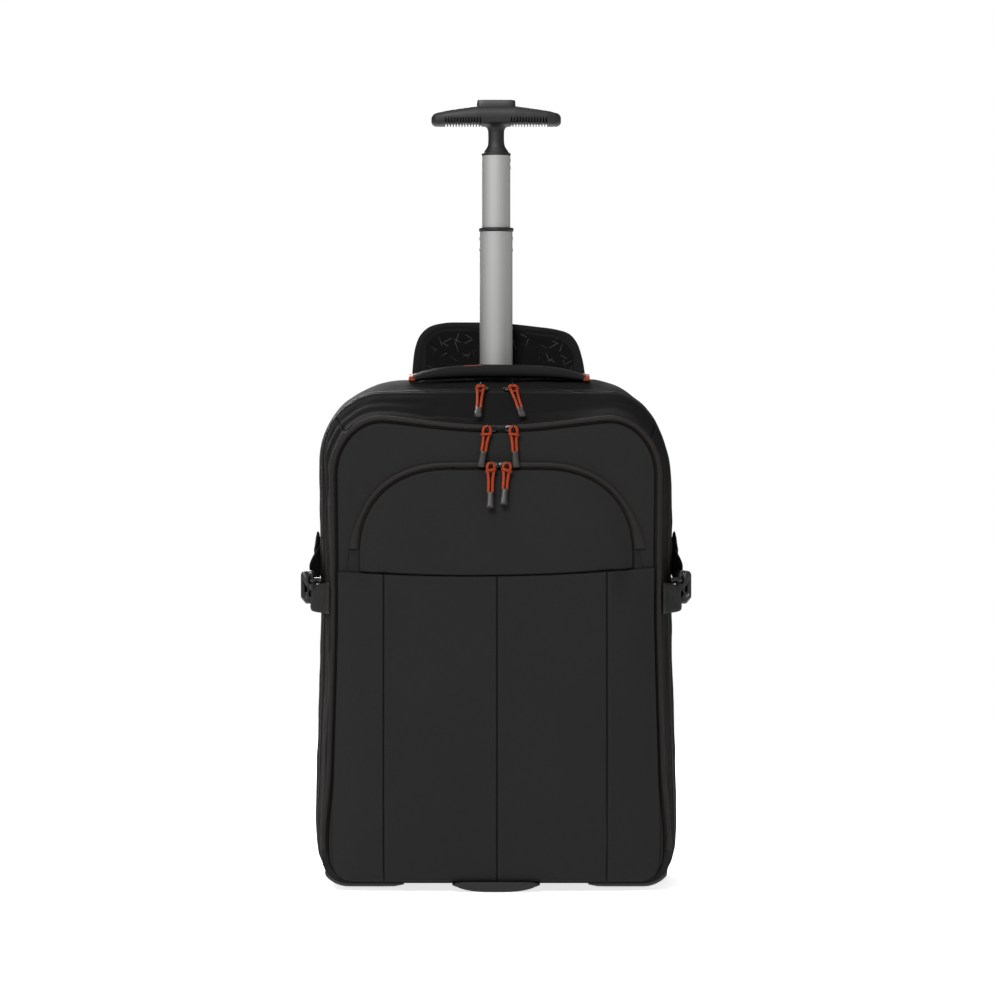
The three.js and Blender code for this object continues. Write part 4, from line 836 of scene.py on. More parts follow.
cutters = [surface("well_cut", well(x, WELL_R, WELL_HALF, -5), ring=True, fans=(True, True))
           for x in (-WHEEL_X, WHEEL_X)]
cutters.append(surface("mouth_cut", oval(38.6, 29.6, [460, 520]), ring=True, fans=(True, True)))
for cutter in cutters:
    outwards(cutter)
    modifier(rear, "BOOLEAN", object=cutter, operation="DIFFERENCE", solver="EXACT")
applied(rear)
for cutter in cutters:
    bpy.data.objects.remove(cutter)
wear(rear, side_cloth, stands_for=["rear_shell"])
print("after the cuts", len(rear.data.polygons), "faces")

# %% [markdown]
# The front compartment is the same outline from the main zip forward. Two short seams cross its
# wall at the shoulders, where the top strip joins the sides. Cloth is drawn in along them.

# %% Front compartment
def finer(rings, spots, fine=0.5, reach=9.0):
    """The same rings with more places near some spots, given as (x, z) on the middle ring. Each
    ring is read by its share of the length round it."""
    shut = np.concatenate([rings, rings[:, :1]], 1)
    walked = spans(shut, 1)
    middle = shut[len(shut) // 2]
    total = walked[len(shut) // 2, -1]
    at = [walked[len(shut) // 2][np.argmin(np.linalg.norm(middle[:, [0, 2]] - spot, axis=1))]
          for spot in spots]
    near = np.concatenate([a + np.arange(-reach, reach, fine) for a in at])
    share = np.unique(np.concatenate([walked[len(shut) // 2][:-1], near]).round(2)) / total
    share = share[(share >= 0) & (share < 1)]
    dense = np.stack([[np.interp(share, w / w[-1], ring[:, c]) for c in range(3)]
                      for w, ring in zip(walked, shut)])
    return dense.transpose(0, 2, 1), share * total, at


SHOULDER_SEAMS = ((-149, 446), (143, 434))     # x and z where the top strip joins the sides
y_mid = np.concatenate([[-3.8, -4.2], np.linspace(-5, -58.6, 52), [-59.4, -60]])
in_mid = np.concatenate([[0.9, 0.25], np.zeros(52), [0.1, 0.6]])
wall, share, joint = finer(outline(y_mid, in_mid), SHOULDER_SEAMS)
around, deep = spans(wall, 1), y_mid[:, None] + 0 * wall[..., 0]
off_joint = np.min([np.abs(share - s + (deep + 30) * lean)
                    for s, lean in zip(joint, (-0.1, 0.1))], 0)
calm = np.clip((-deep - 5) / 12, 0, 1) * np.clip((deep + 59) / 10, 0, 1)
fold = (1.3 * hills(around, deep, 55, 21) + 1.2 * hills(around, deep, 60, 22, 11)
        + 0.6 * hills(around, deep, 14, 23, 60))
wall = wall + ring_out(wall) * (fold * calm + dent(off_joint, 0.9, 1.2, 0.3, 5))[..., None]
back_rows = finer(outline(y_mid[::-4], in_mid[::-4] + 2.5), SHOULDER_SEAMS)[0]
back_rows = back_rows[:, np.linspace(0, back_rows.shape[1] - 1, wall.shape[1]).round().astype(int)]
shell = np.concatenate([wall, back_rows])
to_edge = np.minimum(np.abs(shell[..., 1] + 3.8), np.abs(shell[..., 1] + 60)) + 0.02
to_edge[:len(wall)] = np.minimum(to_edge[:len(wall)], off_joint + 0.02)
front_wall = surface("front_compartment", shell, ring=True, loop=True,
                     seam=np.stack([to_edge, spans(shell, 1)], -1))
outwards(front_wall)
wear(front_wall, side_cloth, stands_for=["middle_shell"])
print("front compartment", len(front_wall.data.polygons), "faces")

# %% [markdown]
# ## The zips that run round the bag
# A zip is a profile carried along the outline. The main zip has two soft lips with the coil
# between them. The middle zip lies on the front edge: a rounded welt outside, a slot with the
# coil inside. The profile's own distance goes into the cloth map, and the tape's material reads
# it.

# %% Main zip and middle zip
across = np.array([-3.5, -3.3, -2.7, -1.9, -1.2, -0.7, 0, 0.7, 1.2, 1.9, 2.7, 3.3, 3.5])
lips = np.array([-0.4, 0.5, 1.0, 1.0, 0.55, -0.25, -0.45, -0.25, 0.55, 1.0, 1.0, 0.5, -0.4])
band = np.concatenate([outline(across, 0.2 - lips), outline([3.5, -3.5], 1.8)])
cloth = np.stack([spans(band, 1),
                  np.concatenate([across + 3.7, [NO_SEAM] * 2])[:, None] + 0 * band[..., 0]], -1)
main_zip = outwards(surface("main_zip_tape", band, ring=True, loop=True, cloth=cloth))
wear(main_zip, main_zip_tape, stands_for=["main_zip"])

FACE = -60.3


def welt(s):
    """How far the zip stands out of its ground at a distance across it: a half ellipse over the
    first 4.8 mm, then a slot with the coil in it, then the cloth's turned edge."""
    hump = 1.9 * np.sqrt(np.clip(1 - ((s - 2.35) / 2.45) ** 2, 0, 1)) + 0.35
    slot = 0.25 + 0.3 * np.exp(-((s - 5.75) / 0.4) ** 2)
    blend = np.clip((s - 4.6) / 0.35, 0, 1)
    return hump * (1 - blend) + slot * blend


WELT_AT = np.array([0, 0.12, 0.4, 0.9, 1.6, 2.35, 3.1, 3.8, 4.3, 4.6, 4.8, 5.1, 5.45, 5.75,
                    6.1, 6.5])
s = WELT_AT
band = outline(0 * s - 60, 0.1 + s)
running = np.clip((band[..., 2] - 36) / 3, 0, 1)
band[..., 1] = FACE - welt(s)[:, None] * running - 0.4 * (1 - running)
band[0, :, 1] = -60.2
ground = outline([-60, -60], [6.6, 0.1])
ground[..., 1] = -60.1
band = np.concatenate([band, ground])
cloth = np.stack([spans(band, 1),
                  np.concatenate([s, [NO_SEAM] * 2])[:, None] + 0 * band[..., 0]], -1)
middle_zip = outwards(surface("middle_zip_tape", band, ring=True, loop=True, cloth=cloth))
wear(middle_zip, body_zip, stands_for=["middle_zip"])
print("zips", len(main_zip.data.polygons) + len(middle_zip.data.polygons), "faces")

# %% [markdown]
# ## Front panel and pocket
# The panel is a shallow lid inside the middle zip. Its grid is a set of rings that shrink to the
# middle. The pocket lies on it in two halves, an arched one above and a plain one below, which
# meet in a seam that dips a little towards the middle. Both are filled, so they stand two
# centimetres out of the panel, fullest low down.

# %% Front panel
def facing(piece, direction):
    """Turns an open surface round where its faces look away from a direction."""
    normals = np.zeros(len(piece.data.polygons) * 3, np.float32)
    piece.data.polygons.foreach_get("normal", normals)
    if (normals.reshape(-1, 3) @ np.asarray(direction, float)).sum() < 0:
        piece.data.flip_normals()
    return piece


rim = outline([-60.0], [6.9])[0]
centre = np.array([0, 0, 230.0])
share = np.array([1, .999, .996, .991, .984, .975, .962, .945, .92, .9, .86, .8, .72, .6, .45, .3,
                  .15, .05])
crown = np.array([0.2, 1.1, 1.9, 2.5, 3.0, 3.3, 3.6, 3.85, 3.98, 4.0, 4.0, 4.0, 4.0, 4.0, 4.0, 4.0,
                  4.0, 4.0])
lid = centre + (rim - centre)[None] * share[:, None, None]
soft = (0.35 * (hills(lid[..., 0], lid[..., 2], 45, 31) - 1)
        * np.clip((1 - share) * 30, 0, 1)[:, None])
lid[..., 1] = (FACE - crown)[:, None] - soft
seam = np.stack([((1 - share) * 170 + 0.02)[:, None] + 0 * lid[..., 0], spans(lid, 1)], -1)
panel = facing(surface("front_lid", lid, ring=True, fans=(False, True), seam=seam,
                       cloth=lid[..., [0, 2]] + 300), (0, -1, 0))
modifier(panel, "SOLIDIFY", thickness=0.0019, offset=-1)
wear(panel, front_cloth, stands_for=["front_panel"])
print("panel", len(panel.data.polygons), "faces")

# %% Pocket shapes
POCKET_TOP, POCKET_BASE, POCKET_HALF, POCKET_Y = BASE + 0.814 * HIGH, 10.0, 149.0, -66.6
ARCH_HALF, ARCH_FLAT, ARCH_RISE, ARCH_POWER = 131.0, 42.0, 84.0, 2.3
TURNED_BACK = -62.7              # where the pocket's edges meet the panel
puff_at = eased([0, .03, .09, .22, .45, .60, .70, .80, 1],
                [.22, .62, .88, 1, .99, .93, .85, .66, .30], 0.03)


def seam_z(x):
    """Height of the seam between the halves: a shallow dip with its right end a little higher."""
    u = x / POCKET_HALF
    return BASE + 0.619 * HIGH - 6.4 * (1 - u * u) + 1.9 * u


def puff(z):
    return 20 * puff_at((z - POCKET_BASE) / (POCKET_TOP - POCKET_BASE))


def arch_half(z, grow=0.0):
    """Half width of the arch: straight at its foot, a superellipse of power 2.3 above."""
    rise = np.clip((z - (POCKET_TOP - ARCH_RISE)) / (ARCH_RISE + grow), 0, 1)
    return ARCH_FLAT + (ARCH_HALF + grow - ARCH_FLAT) * (1 - rise ** ARCH_POWER) ** (1 / ARCH_POWER)


def beside(points, line):
    """For each point of a grid, the distance to a line of dense samples in x and z, and how far
    along it the nearest sample lies."""
    walked = spans(line[None], 1)[0]
    flat = points.reshape(-1, 3)[:, [0, 2]]
    nearest, distance = [], []
    for part in np.array_split(flat, max(1, len(flat) // 4000)):
        d = np.linalg.norm(part[:, None] - line[None], axis=-1)
        i = d.argmin(1)
        nearest.append(walked[i])
        distance.append(d[np.arange(len(i)), i])
    shape = points.shape[:2]
    return np.concatenate(distance).reshape(shape), np.concatenate(nearest).reshape(shape)


def spread(count, ends):
    """Steps from -1 to 1 that crowd towards both ends: sign(w) (1 - (1 - |w|)^ends)."""
    w = np.linspace(-1, 1, count)
    return np.sign(w) * (1 - (1 - np.abs(w)) ** ends)


arch_a = np.linspace(0, np.pi / 2, 260)
right = np.stack([ARCH_FLAT + (ARCH_HALF - ARCH_FLAT) * np.cos(arch_a) ** (2 / ARCH_POWER),
                  POCKET_TOP - ARCH_RISE + ARCH_RISE * np.sin(arch_a) ** (2 / ARCH_POWER)], -1)
arch_line = np.concatenate([[(ARCH_HALF, 305)], right, (right * (-1, 1))[::-1],
                            [(-ARCH_HALF, 305)]])
walked = spans(arch_line[None], 1)[0]
even = np.arange(0, walked[-1], 0.7)
arch_line = np.stack([np.interp(even, walked, arch_line[:, c]) for c in (0, 1)], -1)
print("arch", round(walked[-1]), "mm long")

# %% Upper half of the pocket
u = spread(150, 1.7)[None]
t = np.concatenate([np.linspace(0, 0.08, 14)[:-1],
                    0.08 + 0.92 * (1 - (1 - np.linspace(0, 1, 80)) ** 1.9)])[:, None]
low = seam_z(u * ARCH_HALF) + 0.3
z = low + (POCKET_TOP - low) * t
x = u * arch_half(z)
edge = (1 - np.abs(u) ** 7) * (1 - t ** 7)
upper = np.stack([x, POCKET_Y - puff(z) * edge, z], -1)
from_arch, along_arch = beside(upper, arch_line)
above_seam = z - low
slack = 0.55 * hills(x, z, 48, 41) + 0.3 * hills(x + z, x - z, 22, 42, 60)
slack = slack * np.clip(from_arch / 14, 0, 1) * np.clip(above_seam / 20, 0, 1)
upper[..., 1] -= slack + dent(above_seam, 1.5, 1.3, 0.5, 7)
seam = np.stack([np.minimum(from_arch, above_seam + 0.4) + 0.02,
                 np.where(from_arch < above_seam, along_arch, x)], -1)
upper_half = facing(surface("pocket_upper_half", upper, seam=seam,
                            cloth=np.stack([x + 400, z], -1)), (0, -1, 0))
modifier(upper_half, "SOLIDIFY", thickness=0.0019, offset=-1)
wear(upper_half, front_cloth, stands_for=["upper_pocket"])
print("upper half", len(upper_half.data.polygons), "faces")

# %% [markdown]
# The lower half has three upright seams. They are flat-felled: the cloth is folded under on one
# side and stitched, which leaves a fine dark line and a low ridge. The columns of the grid crowd
# about each seam, so that the line stays sharp. At its upper corners, beside the arch, the half is
# sewn down on the panel, so it is tucked in there.

# %% Lower half of the pocket
SEAMS = (-107.0, 0.9, 105.5)


def crowded(low, high, step, about, fine=0.45, reach=5.0):
    """Places from low to high at a step, and finer ones within reach of each given place."""
    near = np.concatenate([a + np.arange(-reach, reach + fine, fine) for a in about])
    places = np.unique(np.concatenate([np.arange(low, high, step), near, [high]]).round(3))
    places = places[(places >= low) & (places <= high)]
    return places[np.concatenate([[True], np.diff(places) > fine * 0.4])]


def lower_half_width(z):
    """Half width of the lower half: the bag's swell, rounded off over the last 15 mm."""
    down = np.clip(15 - (z - POCKET_BASE), 0, 15)
    return 152.6 * swell(z, 0.010) - (15 - np.sqrt(15 ** 2 - down ** 2))


u = crowded(-149, 149, 2.4, SEAMS)[None] / POCKET_HALF
u = np.unique(np.concatenate([u[0], spread(61, 2.4)[:8], spread(61, 2.4)[-8:]]))[None]
SIDE_TOP = 308.15                # the seam's mean height, up to which the rows are laid out
z0 = np.concatenate([POCKET_BASE + 26 * np.linspace(0, 1, 30) ** 1.6, np.linspace(38, 292, 118),
                     np.linspace(293, SIDE_TOP, 30)])
t = ((z0 - POCKET_BASE) / (SIDE_TOP - POCKET_BASE))[:, None]
z = POCKET_BASE + (seam_z(u * POCKET_HALF) - 0.3 - POCKET_BASE) * t
x = u * lower_half_width(z)
edge = 1 - np.abs(u) ** 7
below_seam = seam_z(u * POCKET_HALF) - z
corner = np.clip((np.abs(x) - 108) / 20, 0, 1)
tuck = corner ** 2 * (3 - 2 * corner) * np.exp(-(below_seam / 24) ** 2)
lower = np.stack([x, POCKET_Y - puff(z) * edge * (1 - 0.82 * tuck) + 0.8 * tuck, z], -1)
off = np.stack([np.abs(x - place) for place in SEAMS])
near_seam, to_side = off.min(0), POCKET_HALF - np.abs(x)
slack = 0.8 * hills(x, z, 62, 51) + 0.55 * hills(x + 0.7 * z, x - z, 26, 52, 80)
pull = 1.0 * np.exp(-((z + x * 0.9 - 172) / 9) ** 2) * np.exp(-((x + 122) / 20) ** 2)
pull += 1.3 * np.exp(-((z - 0.9 * x - 132) / 7) ** 2) * np.exp(-((x - 128) / 18) ** 2)
pull += 1.1 * np.exp(-((z - 0.9 * x - 158) / 6) ** 2) * np.exp(-((x - 130) / 16) ** 2)
pull += 0.9 * np.exp(-((z - 0.9 * x - 106) / 7) ** 2) * np.exp(-((x - 126) / 18) ** 2)
slack = (slack + pull) * np.clip(near_seam / 12, 0.12, 1) * np.clip(below_seam / 18, 0, 1)
slack = slack * np.clip(to_side / 14, 0, 1) * np.clip((z - 16) / 20, 0, 1)
sewn = (dent(near_seam, 0.85, 0.8, 0.28, 4.5) * np.clip(to_side / 8, 0, 1)
        * np.clip((z - 12) / 8, 0, 1))
sewn += dent(below_seam, 1.6, 1.1, 0.3, 6) * np.clip((z - 200) / 40, 0, 1)
lower[..., 1] -= slack + sewn
lower[:, [0, -1], 1] = TURNED_BACK
under = lower[[0, 0]] + np.array([(0, 0, -0.7), (0, 0, -0.4)])[:, None]
under[0, :, 1], under[1, :, 1] = TURNED_BACK, lower[0, :, 1] + 1.2
lower = np.concatenate([under, lower])
seam = np.stack([np.minimum(near_seam, below_seam) + 0.02,
                 np.where(near_seam < below_seam, z, x)], -1)
cloth = np.stack([x + 400, z], -1)
seam, cloth = np.concatenate([seam[[0, 0]], seam]), np.concatenate([cloth[[0, 0]], cloth])
lower_half = facing(surface("pocket_lower_half", lower, seam=seam, cloth=cloth), (0, -1, 0))
modifier(lower_half, "SOLIDIFY", thickness=0.0019, offset=-1)
wear(lower_half, front_cloth, stands_for=["lower_pocket"])
print("lower half", len(lower_half.data.polygons), "faces")

# %% [markdown]
# The pocket's own zip follows the arch: the same welt and slot, turned so that the slot lies
# inside. At both ends the tape widens into a sewn tab.

# %% Pocket zip
foot = POCKET_TOP - ARCH_RISE
a = np.linspace(0, np.pi / 2, 150)
half_path = np.stack([ARCH_FLAT + (ARCH_HALF + 3.55 - ARCH_FLAT) * np.cos(a) ** (2 / ARCH_POWER),
                      foot + (ARCH_RISE + 3.55) * np.sin(a) ** (2 / ARCH_POWER)], -1)
path = np.concatenate([half_path, (half_path * (-1, 1))[::-1]])
path = path[(path[:, 1] > 326.5) | (np.abs(path[:, 0]) < 90)]
walked = spans(path[None], 1)[0]
even = np.linspace(0, walked[-1], 420)
path = np.stack([np.interp(even, walked, path[:, c]) for c in (0, 1)], -1)
run = np.gradient(path, axis=0)
run /= np.linalg.norm(run, axis=1, keepdims=True)
out = np.stack([run[:, 1], -run[:, 0]], -1)
from_right, from_left = even, even[-1] - even
grow = (5.5 * np.clip(1 - from_right / 46, 0, 1) ** 1.4
        + 3.6 * np.clip(1 - from_left / 34, 0, 1) ** 1.4)
s = WELT_AT
place = 3.25 - s + grow[:, None] * np.clip((4.4 - s) / 4.4, 0, 1)
flat = np.clip(grow / 7, 0, 1)[:, None]
stand = welt(s) * (1 - flat * 0.6 * (s < 4.6))
tape = np.stack([path[:, None, 0] + out[:, None, 0] * place, -64.7 - stand,
                 path[:, None, 1] + out[:, None, 1] * place], -1)
under = tape[:, [-1, 0]].copy()
under[..., 1] = -64.6
tape = np.concatenate([tape, under], 1)
cloth = np.stack([even[:, None] + 0 * tape[..., 0],
                  np.concatenate([s, [NO_SEAM] * 2])[None] + 0 * tape[..., 0]], -1)
pocket_zip = outwards(surface("pocket_zip_tape", tape, ring=True, fans=(True, True), cloth=cloth))
wear(pocket_zip, body_zip, stands_for=["pocket_zip"])
for name, (x0, x1) in (("left", (-141.5, -142.5)), ("right", (135.5, 140.5))):
    line = np.stack([np.linspace(x0, x1, 16), np.full(16, -64.75),
                     np.linspace(326.4, 309.5, 16)], -1)
    fine_seam = outwards(surface("tab_seam_" + name, tube(line, 0.45, 8), ring=True,
                                 fans=(True, True)))
    wear(fine_seam, strap_web)
print("pocket zip", len(pocket_zip.data.polygons), "faces")

# %% [markdown]
# ## The trolley
# Two drawn oval tubes slide in each other and in a plastic guide. They could be curves with a
# bevel, but a ring grid gives true wall ends, which are seen where the collar sits. A short ring
# next to each edge keeps the shading of the long wall straight. The rivets are small domes that
# stand out less than the tubes' play, so they pass the mouth.

# %% Pipes, prisms and blocks
def crisp(piece, degrees=35):
    """Marks the edges that turn more than an angle as sharp."""
    piece.data.set_sharp_from_angle(angle=np.radians(degrees))
    return piece


def pipe(name, outer, inner, low, high, edge=0.4):
    """An oval tube with bevelled outer edges: outer rings upwards, inner rings back down."""
    z = np.array([low, low + edge, low + 3 * edge, high - 3 * edge, high - edge, high])
    grow = np.array([-2 * edge, 0, 0, 0, 0, -2 * edge])
    back = z[::-1]
    rings = np.concatenate([oval(outer[0] + grow, outer[1] + grow, z, count=96),
                            oval(inner[0] - grow * 0.5, inner[1] - grow * 0.5, back, count=96)])
    return crisp(outwards(surface(name, rings, ring=True, loop=True)))


def prism(name, shape, axis, low, high, bevel=0.0):
    """A closed outline carried along an axis, with rounded edges."""
    ends = np.stack([np.insert(np.asarray(shape, float), axis, at, 1) for at in (low, high)])
    piece = outwards(surface(name, ends, ring=True, fans=(True, True)))
    if bevel:
        modifier(piece, "BEVEL", width=bevel / 1000, segments=3, limit_method="ANGLE",
                 harden_normals=True)
    return crisp(piece)


def block(name, low, high, bevel=0.8):
    """A box between two corners with rounded edges."""
    (x0, y0, z0), (x1, y1, z1) = low, high
    return prism(name, [(x0, y0), (x1, y0), (x1, y1), (x0, y1)], 2, z0, z1, bevel)


def cut_out(piece, cutters):
    """Takes the cutters out of a piece, bakes the result and drops the cutters."""
    for cutter in cutters:
        applied(cutter)
        modifier(piece, "BOOLEAN", object=cutter, operation="DIFFERENCE", solver="EXACT")
    applied(piece)
    for cutter in cutters:
        bpy.data.objects.remove(cutter)
    return crisp(piece)


print("shapes ready")

# %% Guide, mouth, tubes and rivets
GUIDE = pipe("pole_guide", (38, 29), (34, 25), 12.0, 494.2)
wear(GUIDE, dark_plastic, stands_for=["guide_tube"])
MOUTH = pipe("pole_mouth", (44, 35), (34, 25), 494.6, 497.6, 0.9)
wear(MOUTH, dark_plastic, stands_for=["guide_bezel"])
LOWER = pipe("pole_lower", (33, 24), (30, 21), 281.2, 643.2, 0.25)
wear(LOWER, pole_metal, "lower_stage", ["lower_tube"])
UPPER = pipe("pole_upper", (28.5, 19.5), (25.5, 16.5), 389.7, 719.7, 0.25)
wear(UPPER, pole_metal, "upper_stage", ["upper_tube"])
COLLAR = pipe("pole_collar", (35, 26), (29.2, 20.2), 643.5, 647.0, 0.6)
wear(COLLAR, dark_plastic, "lower_stage", ["tube_collar"])


def rivet(name, x, z, body):
    """A low dome of radius 1.7 on the tube's side: five rings that close in as they rise."""
    a = np.arange(20) / 20 * 2 * np.pi
    rise, radius = np.array([-0.6, 0, 0.18, 0.3, 0.34]), np.array([1.7, 1.7, 1.5, 1.0, 0.4])
    side = np.sign(x)
    rings = np.stack([x + side * rise[:, None] + 0 * a, POLE_Y + radius[:, None] * np.cos(a),
                      z + radius[:, None] * np.sin(a)], -1)
    piece = outwards(surface(name, rings, ring=True, fans=(True, True)))
    return wear(piece, dark_plastic, body)


RIVETS = [(-16.5, 636.5, "lower_stage"), (-16.5, 625, "lower_stage"),
          (16.5, 636.5, "lower_stage"), (16.5, 625, "lower_stage"),
          (14.25, 715, "upper_stage"), (14.25, 707.5, "upper_stage")]
for i, (x, z, body) in enumerate(RIVETS):
    rivet(f"rivet_{i + 1}", x, z, body)
print("pole", LOWER.name, UPPER.name, "rivets", len(RIVETS))

# %% [markdown]
# The grip is a moulded bar that thins and narrows towards its rounded tips, on a neck with a
# flared foot. Its lower front edge has a comb of tapered grooves on each side, which give hold
# to the fingers. The bar is a grid of superellipse rings, and the comb and the button's room are
# cut out of it.

# %% Grip and button
share = np.concatenate([np.linspace(0, 0.9, 60),
                        0.9 + 0.1 * np.sin(np.linspace(0.1, 1, 14) * np.pi / 2)])
out = np.concatenate([-share[:0:-1], share])
table_out = [0, .3, .55, .8, .94, .985, 1.0]
high = eased(table_out, [1, 1, .89, .77, .66, .50, .30], 0.03)(np.abs(out))
deep = eased(table_out, [1, 1, .95, .87, .74, .56, .34], 0.03)(np.abs(out))
a = (np.arange(56) + 0.5) / 56 * 2 * np.pi
bend = lambda v, p: np.sign(v) * np.abs(v) ** p
low = 749 + 6 * (1 - np.minimum(1, high / 0.66))
bar = np.stack(np.broadcast_arrays((out * 65)[:, None],
                                   POLE_Y + 15 * deep[:, None] * bend(np.cos(a), 0.7),
                                   low[:, None]
                                   + (1 + bend(np.sin(a), 0.7)) * 10 * high[:, None]), -1)
grip_bar = outwards(surface("grip_bar", bar, ring=True, fans=(True, True)))
wedges, notches = [], []
for i in range(13):
    for side in (-1, 1):
        x = side * (15.5 + 2.9 * i)
        front = POLE_Y - 15 * np.interp(abs(x) / 65, table_out, [1, 1, .95, .87, .74, .56, .34])
        wedge = [(x - 0.95, 747), (x + 0.95, 747), (x + 0.75, 754), (x + 0.4, 757.4),
                 (x - 0.4, 757.4), (x - 0.75, 754)]
        wedges.append(prism("wedge", wedge, 1, front - 2, front + 7.6 + 0.05 * i))
        notches.append(prism("notch",
                             [(x - 0.95, 746), (x + 0.95, 746), (x + 0.8, 752.2), (x - 0.8, 752.2)],
                             1, front - 3, 112 + 0.03 * i))
cut_out(grip_bar,
        [joined("wedges", wedges), joined("notches", notches),
         block("room", (-19.8, 86.7, 760.7), (19.8, 103.3, 772), 0)])
line = curve_through([(14.65, 0, 0), (14.7, 0, 1.2), (14.5, 0, 1.9), (13.3, 0, 2.4),
                      (11.6, 0, 4.8), (9.6, 0, 7.8), (8.6, 0, 10), (8.1, 0, 14), (8.0, 0, 20),
                      (8.3, 0, 25), (9.8, 0, 27.8), (13.4, 0, 29.5), (18, 0, 30.6)], 80)
radius, rise = line[:, 0], line[:, 2]
a = np.arange(64) / 64 * 2 * np.pi
neck = np.stack(np.broadcast_arrays(radius[:, None] * np.cos(a),
                                    POLE_Y + 0.684 * radius[:, None] * np.sin(a),
                                    720 + rise[:, None]), -1)
grip_neck = crisp(outwards(surface("grip_neck", neck, ring=True, fans=(True, True))), 40)
for piece in (grip_bar, grip_neck):
    wear(piece, grip_plastic, "upper_stage", ["grip"])

down = np.array([0, 0, .5, .9, .97, 1.0])
size = np.array([0.97, 1, 1, 0.99, 0.965, 0.9])
a = (np.arange(64) + 0.5) / 64 * 2 * np.pi
button = np.stack(np.broadcast_arrays(19.5 * size[:, None] * bend(np.cos(a), 0.28),
                                      POLE_Y + 8 * size[:, None] * bend(np.sin(a), 0.28),
                                      765 + 10 * down[:, None]), -1)
middle = np.array([0, POLE_Y, 775])
crown = np.array([.8, .6, .3])[:, None, None]
button = np.concatenate([button,
                         middle + (button[-1:] - middle) * crown + (0, 0, 0.35) * (1 - crown ** 2)])
push = crisp(outwards(surface("push_button", button, ring=True, fans=(True, True))), 50)
wear(push, button_plastic, "button", ["grip_button"])
print("grip", len(grip_bar.data.polygons), "faces, button", len(push.data.polygons))

# %% [markdown]
# ## Handle and cover
# The grab handle is a padded band with a welt on each edge, sewn down with orange bar tacks. The
# cover of the trolley stands open behind the pole: a soft flap with a raised border, and a
# lining with a scatter of fine pale strokes. The lining is one flat cut, held stretched by its
# seams, so nothing is simulated.

# %% Grab handle
u = np.concatenate([[-1, -.995], np.linspace(-.985, .985, 90), [.995, 1]])
arch = 1 - np.abs(u) ** 2.6
lean = np.arctan(-7 * 2.6 * np.abs(u) ** 1.6 * np.sign(u) / 85)
taper = (1 - 0.42 * np.abs(u) ** 6) * np.clip(1.0 - (np.abs(u) - .985) * 20, 0.6, 1)
a = np.arange(64) / 64 * 2 * np.pi
c, s = bend(np.cos(a), 0.55), bend(np.sin(a), 0.7)
welt_out = 0.9 * np.exp(-(s / 0.45) ** 2) * np.sign(c) * (np.abs(c) > 0.6)
stitch_line = -0.35 * np.exp(-((np.abs(c) - 0.84) / 0.04) ** 2) * np.sign(s)
body = 4.0 + 2.7 * arch
lift = (1 + s) * body[:, None] * taper[:, None] + stitch_line
low = 494.3 + 1.6 * arch
reach_out = 3 + u * 88.5
soft = 0.35 * hills(u[:, None] * 85 + 0 * a, 0 * u[:, None] + a * 8, 24, 71)
deep_y = 50 + (c * 15 + welt_out) * (0.9 + 0.1 * taper[:, None])
laid = (deep_y - 65) * 0.16 * (0.45 + 0.55 * np.abs(u)[:, None] ** 3)
band = np.stack([reach_out[:, None] - np.sin(lean)[:, None] * lift, deep_y,
                 low[:, None] + laid + np.cos(lean)[:, None] * (lift + soft * (s > 0))], -1)
handle = outwards(surface("grab_handle_soft", band, ring=True, fans=(True, True),
                          seam=np.stack(np.broadcast_arrays(np.abs(s + 0.74) * body[:, None] + 0.02,
                                                            u[:, None] * 85), -1)))
wear(handle, handle_cloth, stands_for=["grab_handle"])


def thread_wrap(name):
    """Close turns of orange thread, 0.9 mm apart."""
    b = Bench(name, Roughness=0.6, Specular_IOR_Level=0.25)
    x = b.place()[0]
    turn = (x * 1000).wave(0.9)
    b.colour(b.mix(turn, (0.10, 0.010, 0.003, 1), (0.36, 0.060, 0.013, 1)))
    b.relief(turn, 0.0003)
    return b.material


orange_thread = thread_wrap("orange_thread")
for side, low_u, high_u in (("left", -1.01, -0.935), ("right", 0.94, 1.01)):
    places = np.linspace(low_u, high_u, 9)
    rings = []
    for at in places:
        i = np.argmin(np.abs(u - np.clip(at, -0.97, 0.97)))
        ring = band[i].copy()
        middle = ring.mean(0)
        ring = middle + (ring - middle) * (1.0, 1.035, 1.16)
        ring[:, 0] = 3 + at * 88.5
        rings.append(ring)
    rings = np.stack(rings)
    for row in (0, -1):
        middle = rings[row].mean(0)
        rings[row] = middle + (rings[row] - middle) * 0.93
    tack = outwards(surface("bar_tack_" + side, rings, ring=True, fans=(True, True)))
    wear(tack, orange_thread)

edge = band[(u > -0.40) & (u < -0.17)]
top_back = edge[:, np.argmin(np.abs(a - 2.2))]
piped = outwards(surface("orange_edge", tube(top_back + (0, 0.4, 0.1), 0.5, 8), ring=True,
                         fans=(True, True)))
wear(piped, orange_thread)
print("handle", len(handle.data.polygons), "faces")

# %% Trolley cover
flap_table = np.array([(-.98, 0), (-.975, .16), (-.94, .58), (-.88, .79), (-.775, .925),
                       (-.60, .99), (-.36, 1), (.01, .99), (.21, .97), (.46, .93), (.69, .885),
                       (.85, .81), (.94, .66), (1.00, .41), (1.03, .16), (1.035, 0)])
rim = curve_through(np.stack([flap_table[:, 0] * 87, 0 * flap_table[:, 0],
                              492.0 + flap_table[:, 1] * 61.5], -1), 180)[:, [0, 2]]
base = np.stack([np.linspace(rim[-1, 0], rim[0, 0], 62)[1:-1], np.full(60, 492.0)], -1)
rim = np.concatenate([rim, base])
middle = np.array([2.0, 515.0])


def inset_rim(inset):
    """The outline moved inwards by a distance, towards the middle."""
    away = rim - middle
    return rim - away / np.linalg.norm(away, axis=1, keepdims=True) * inset


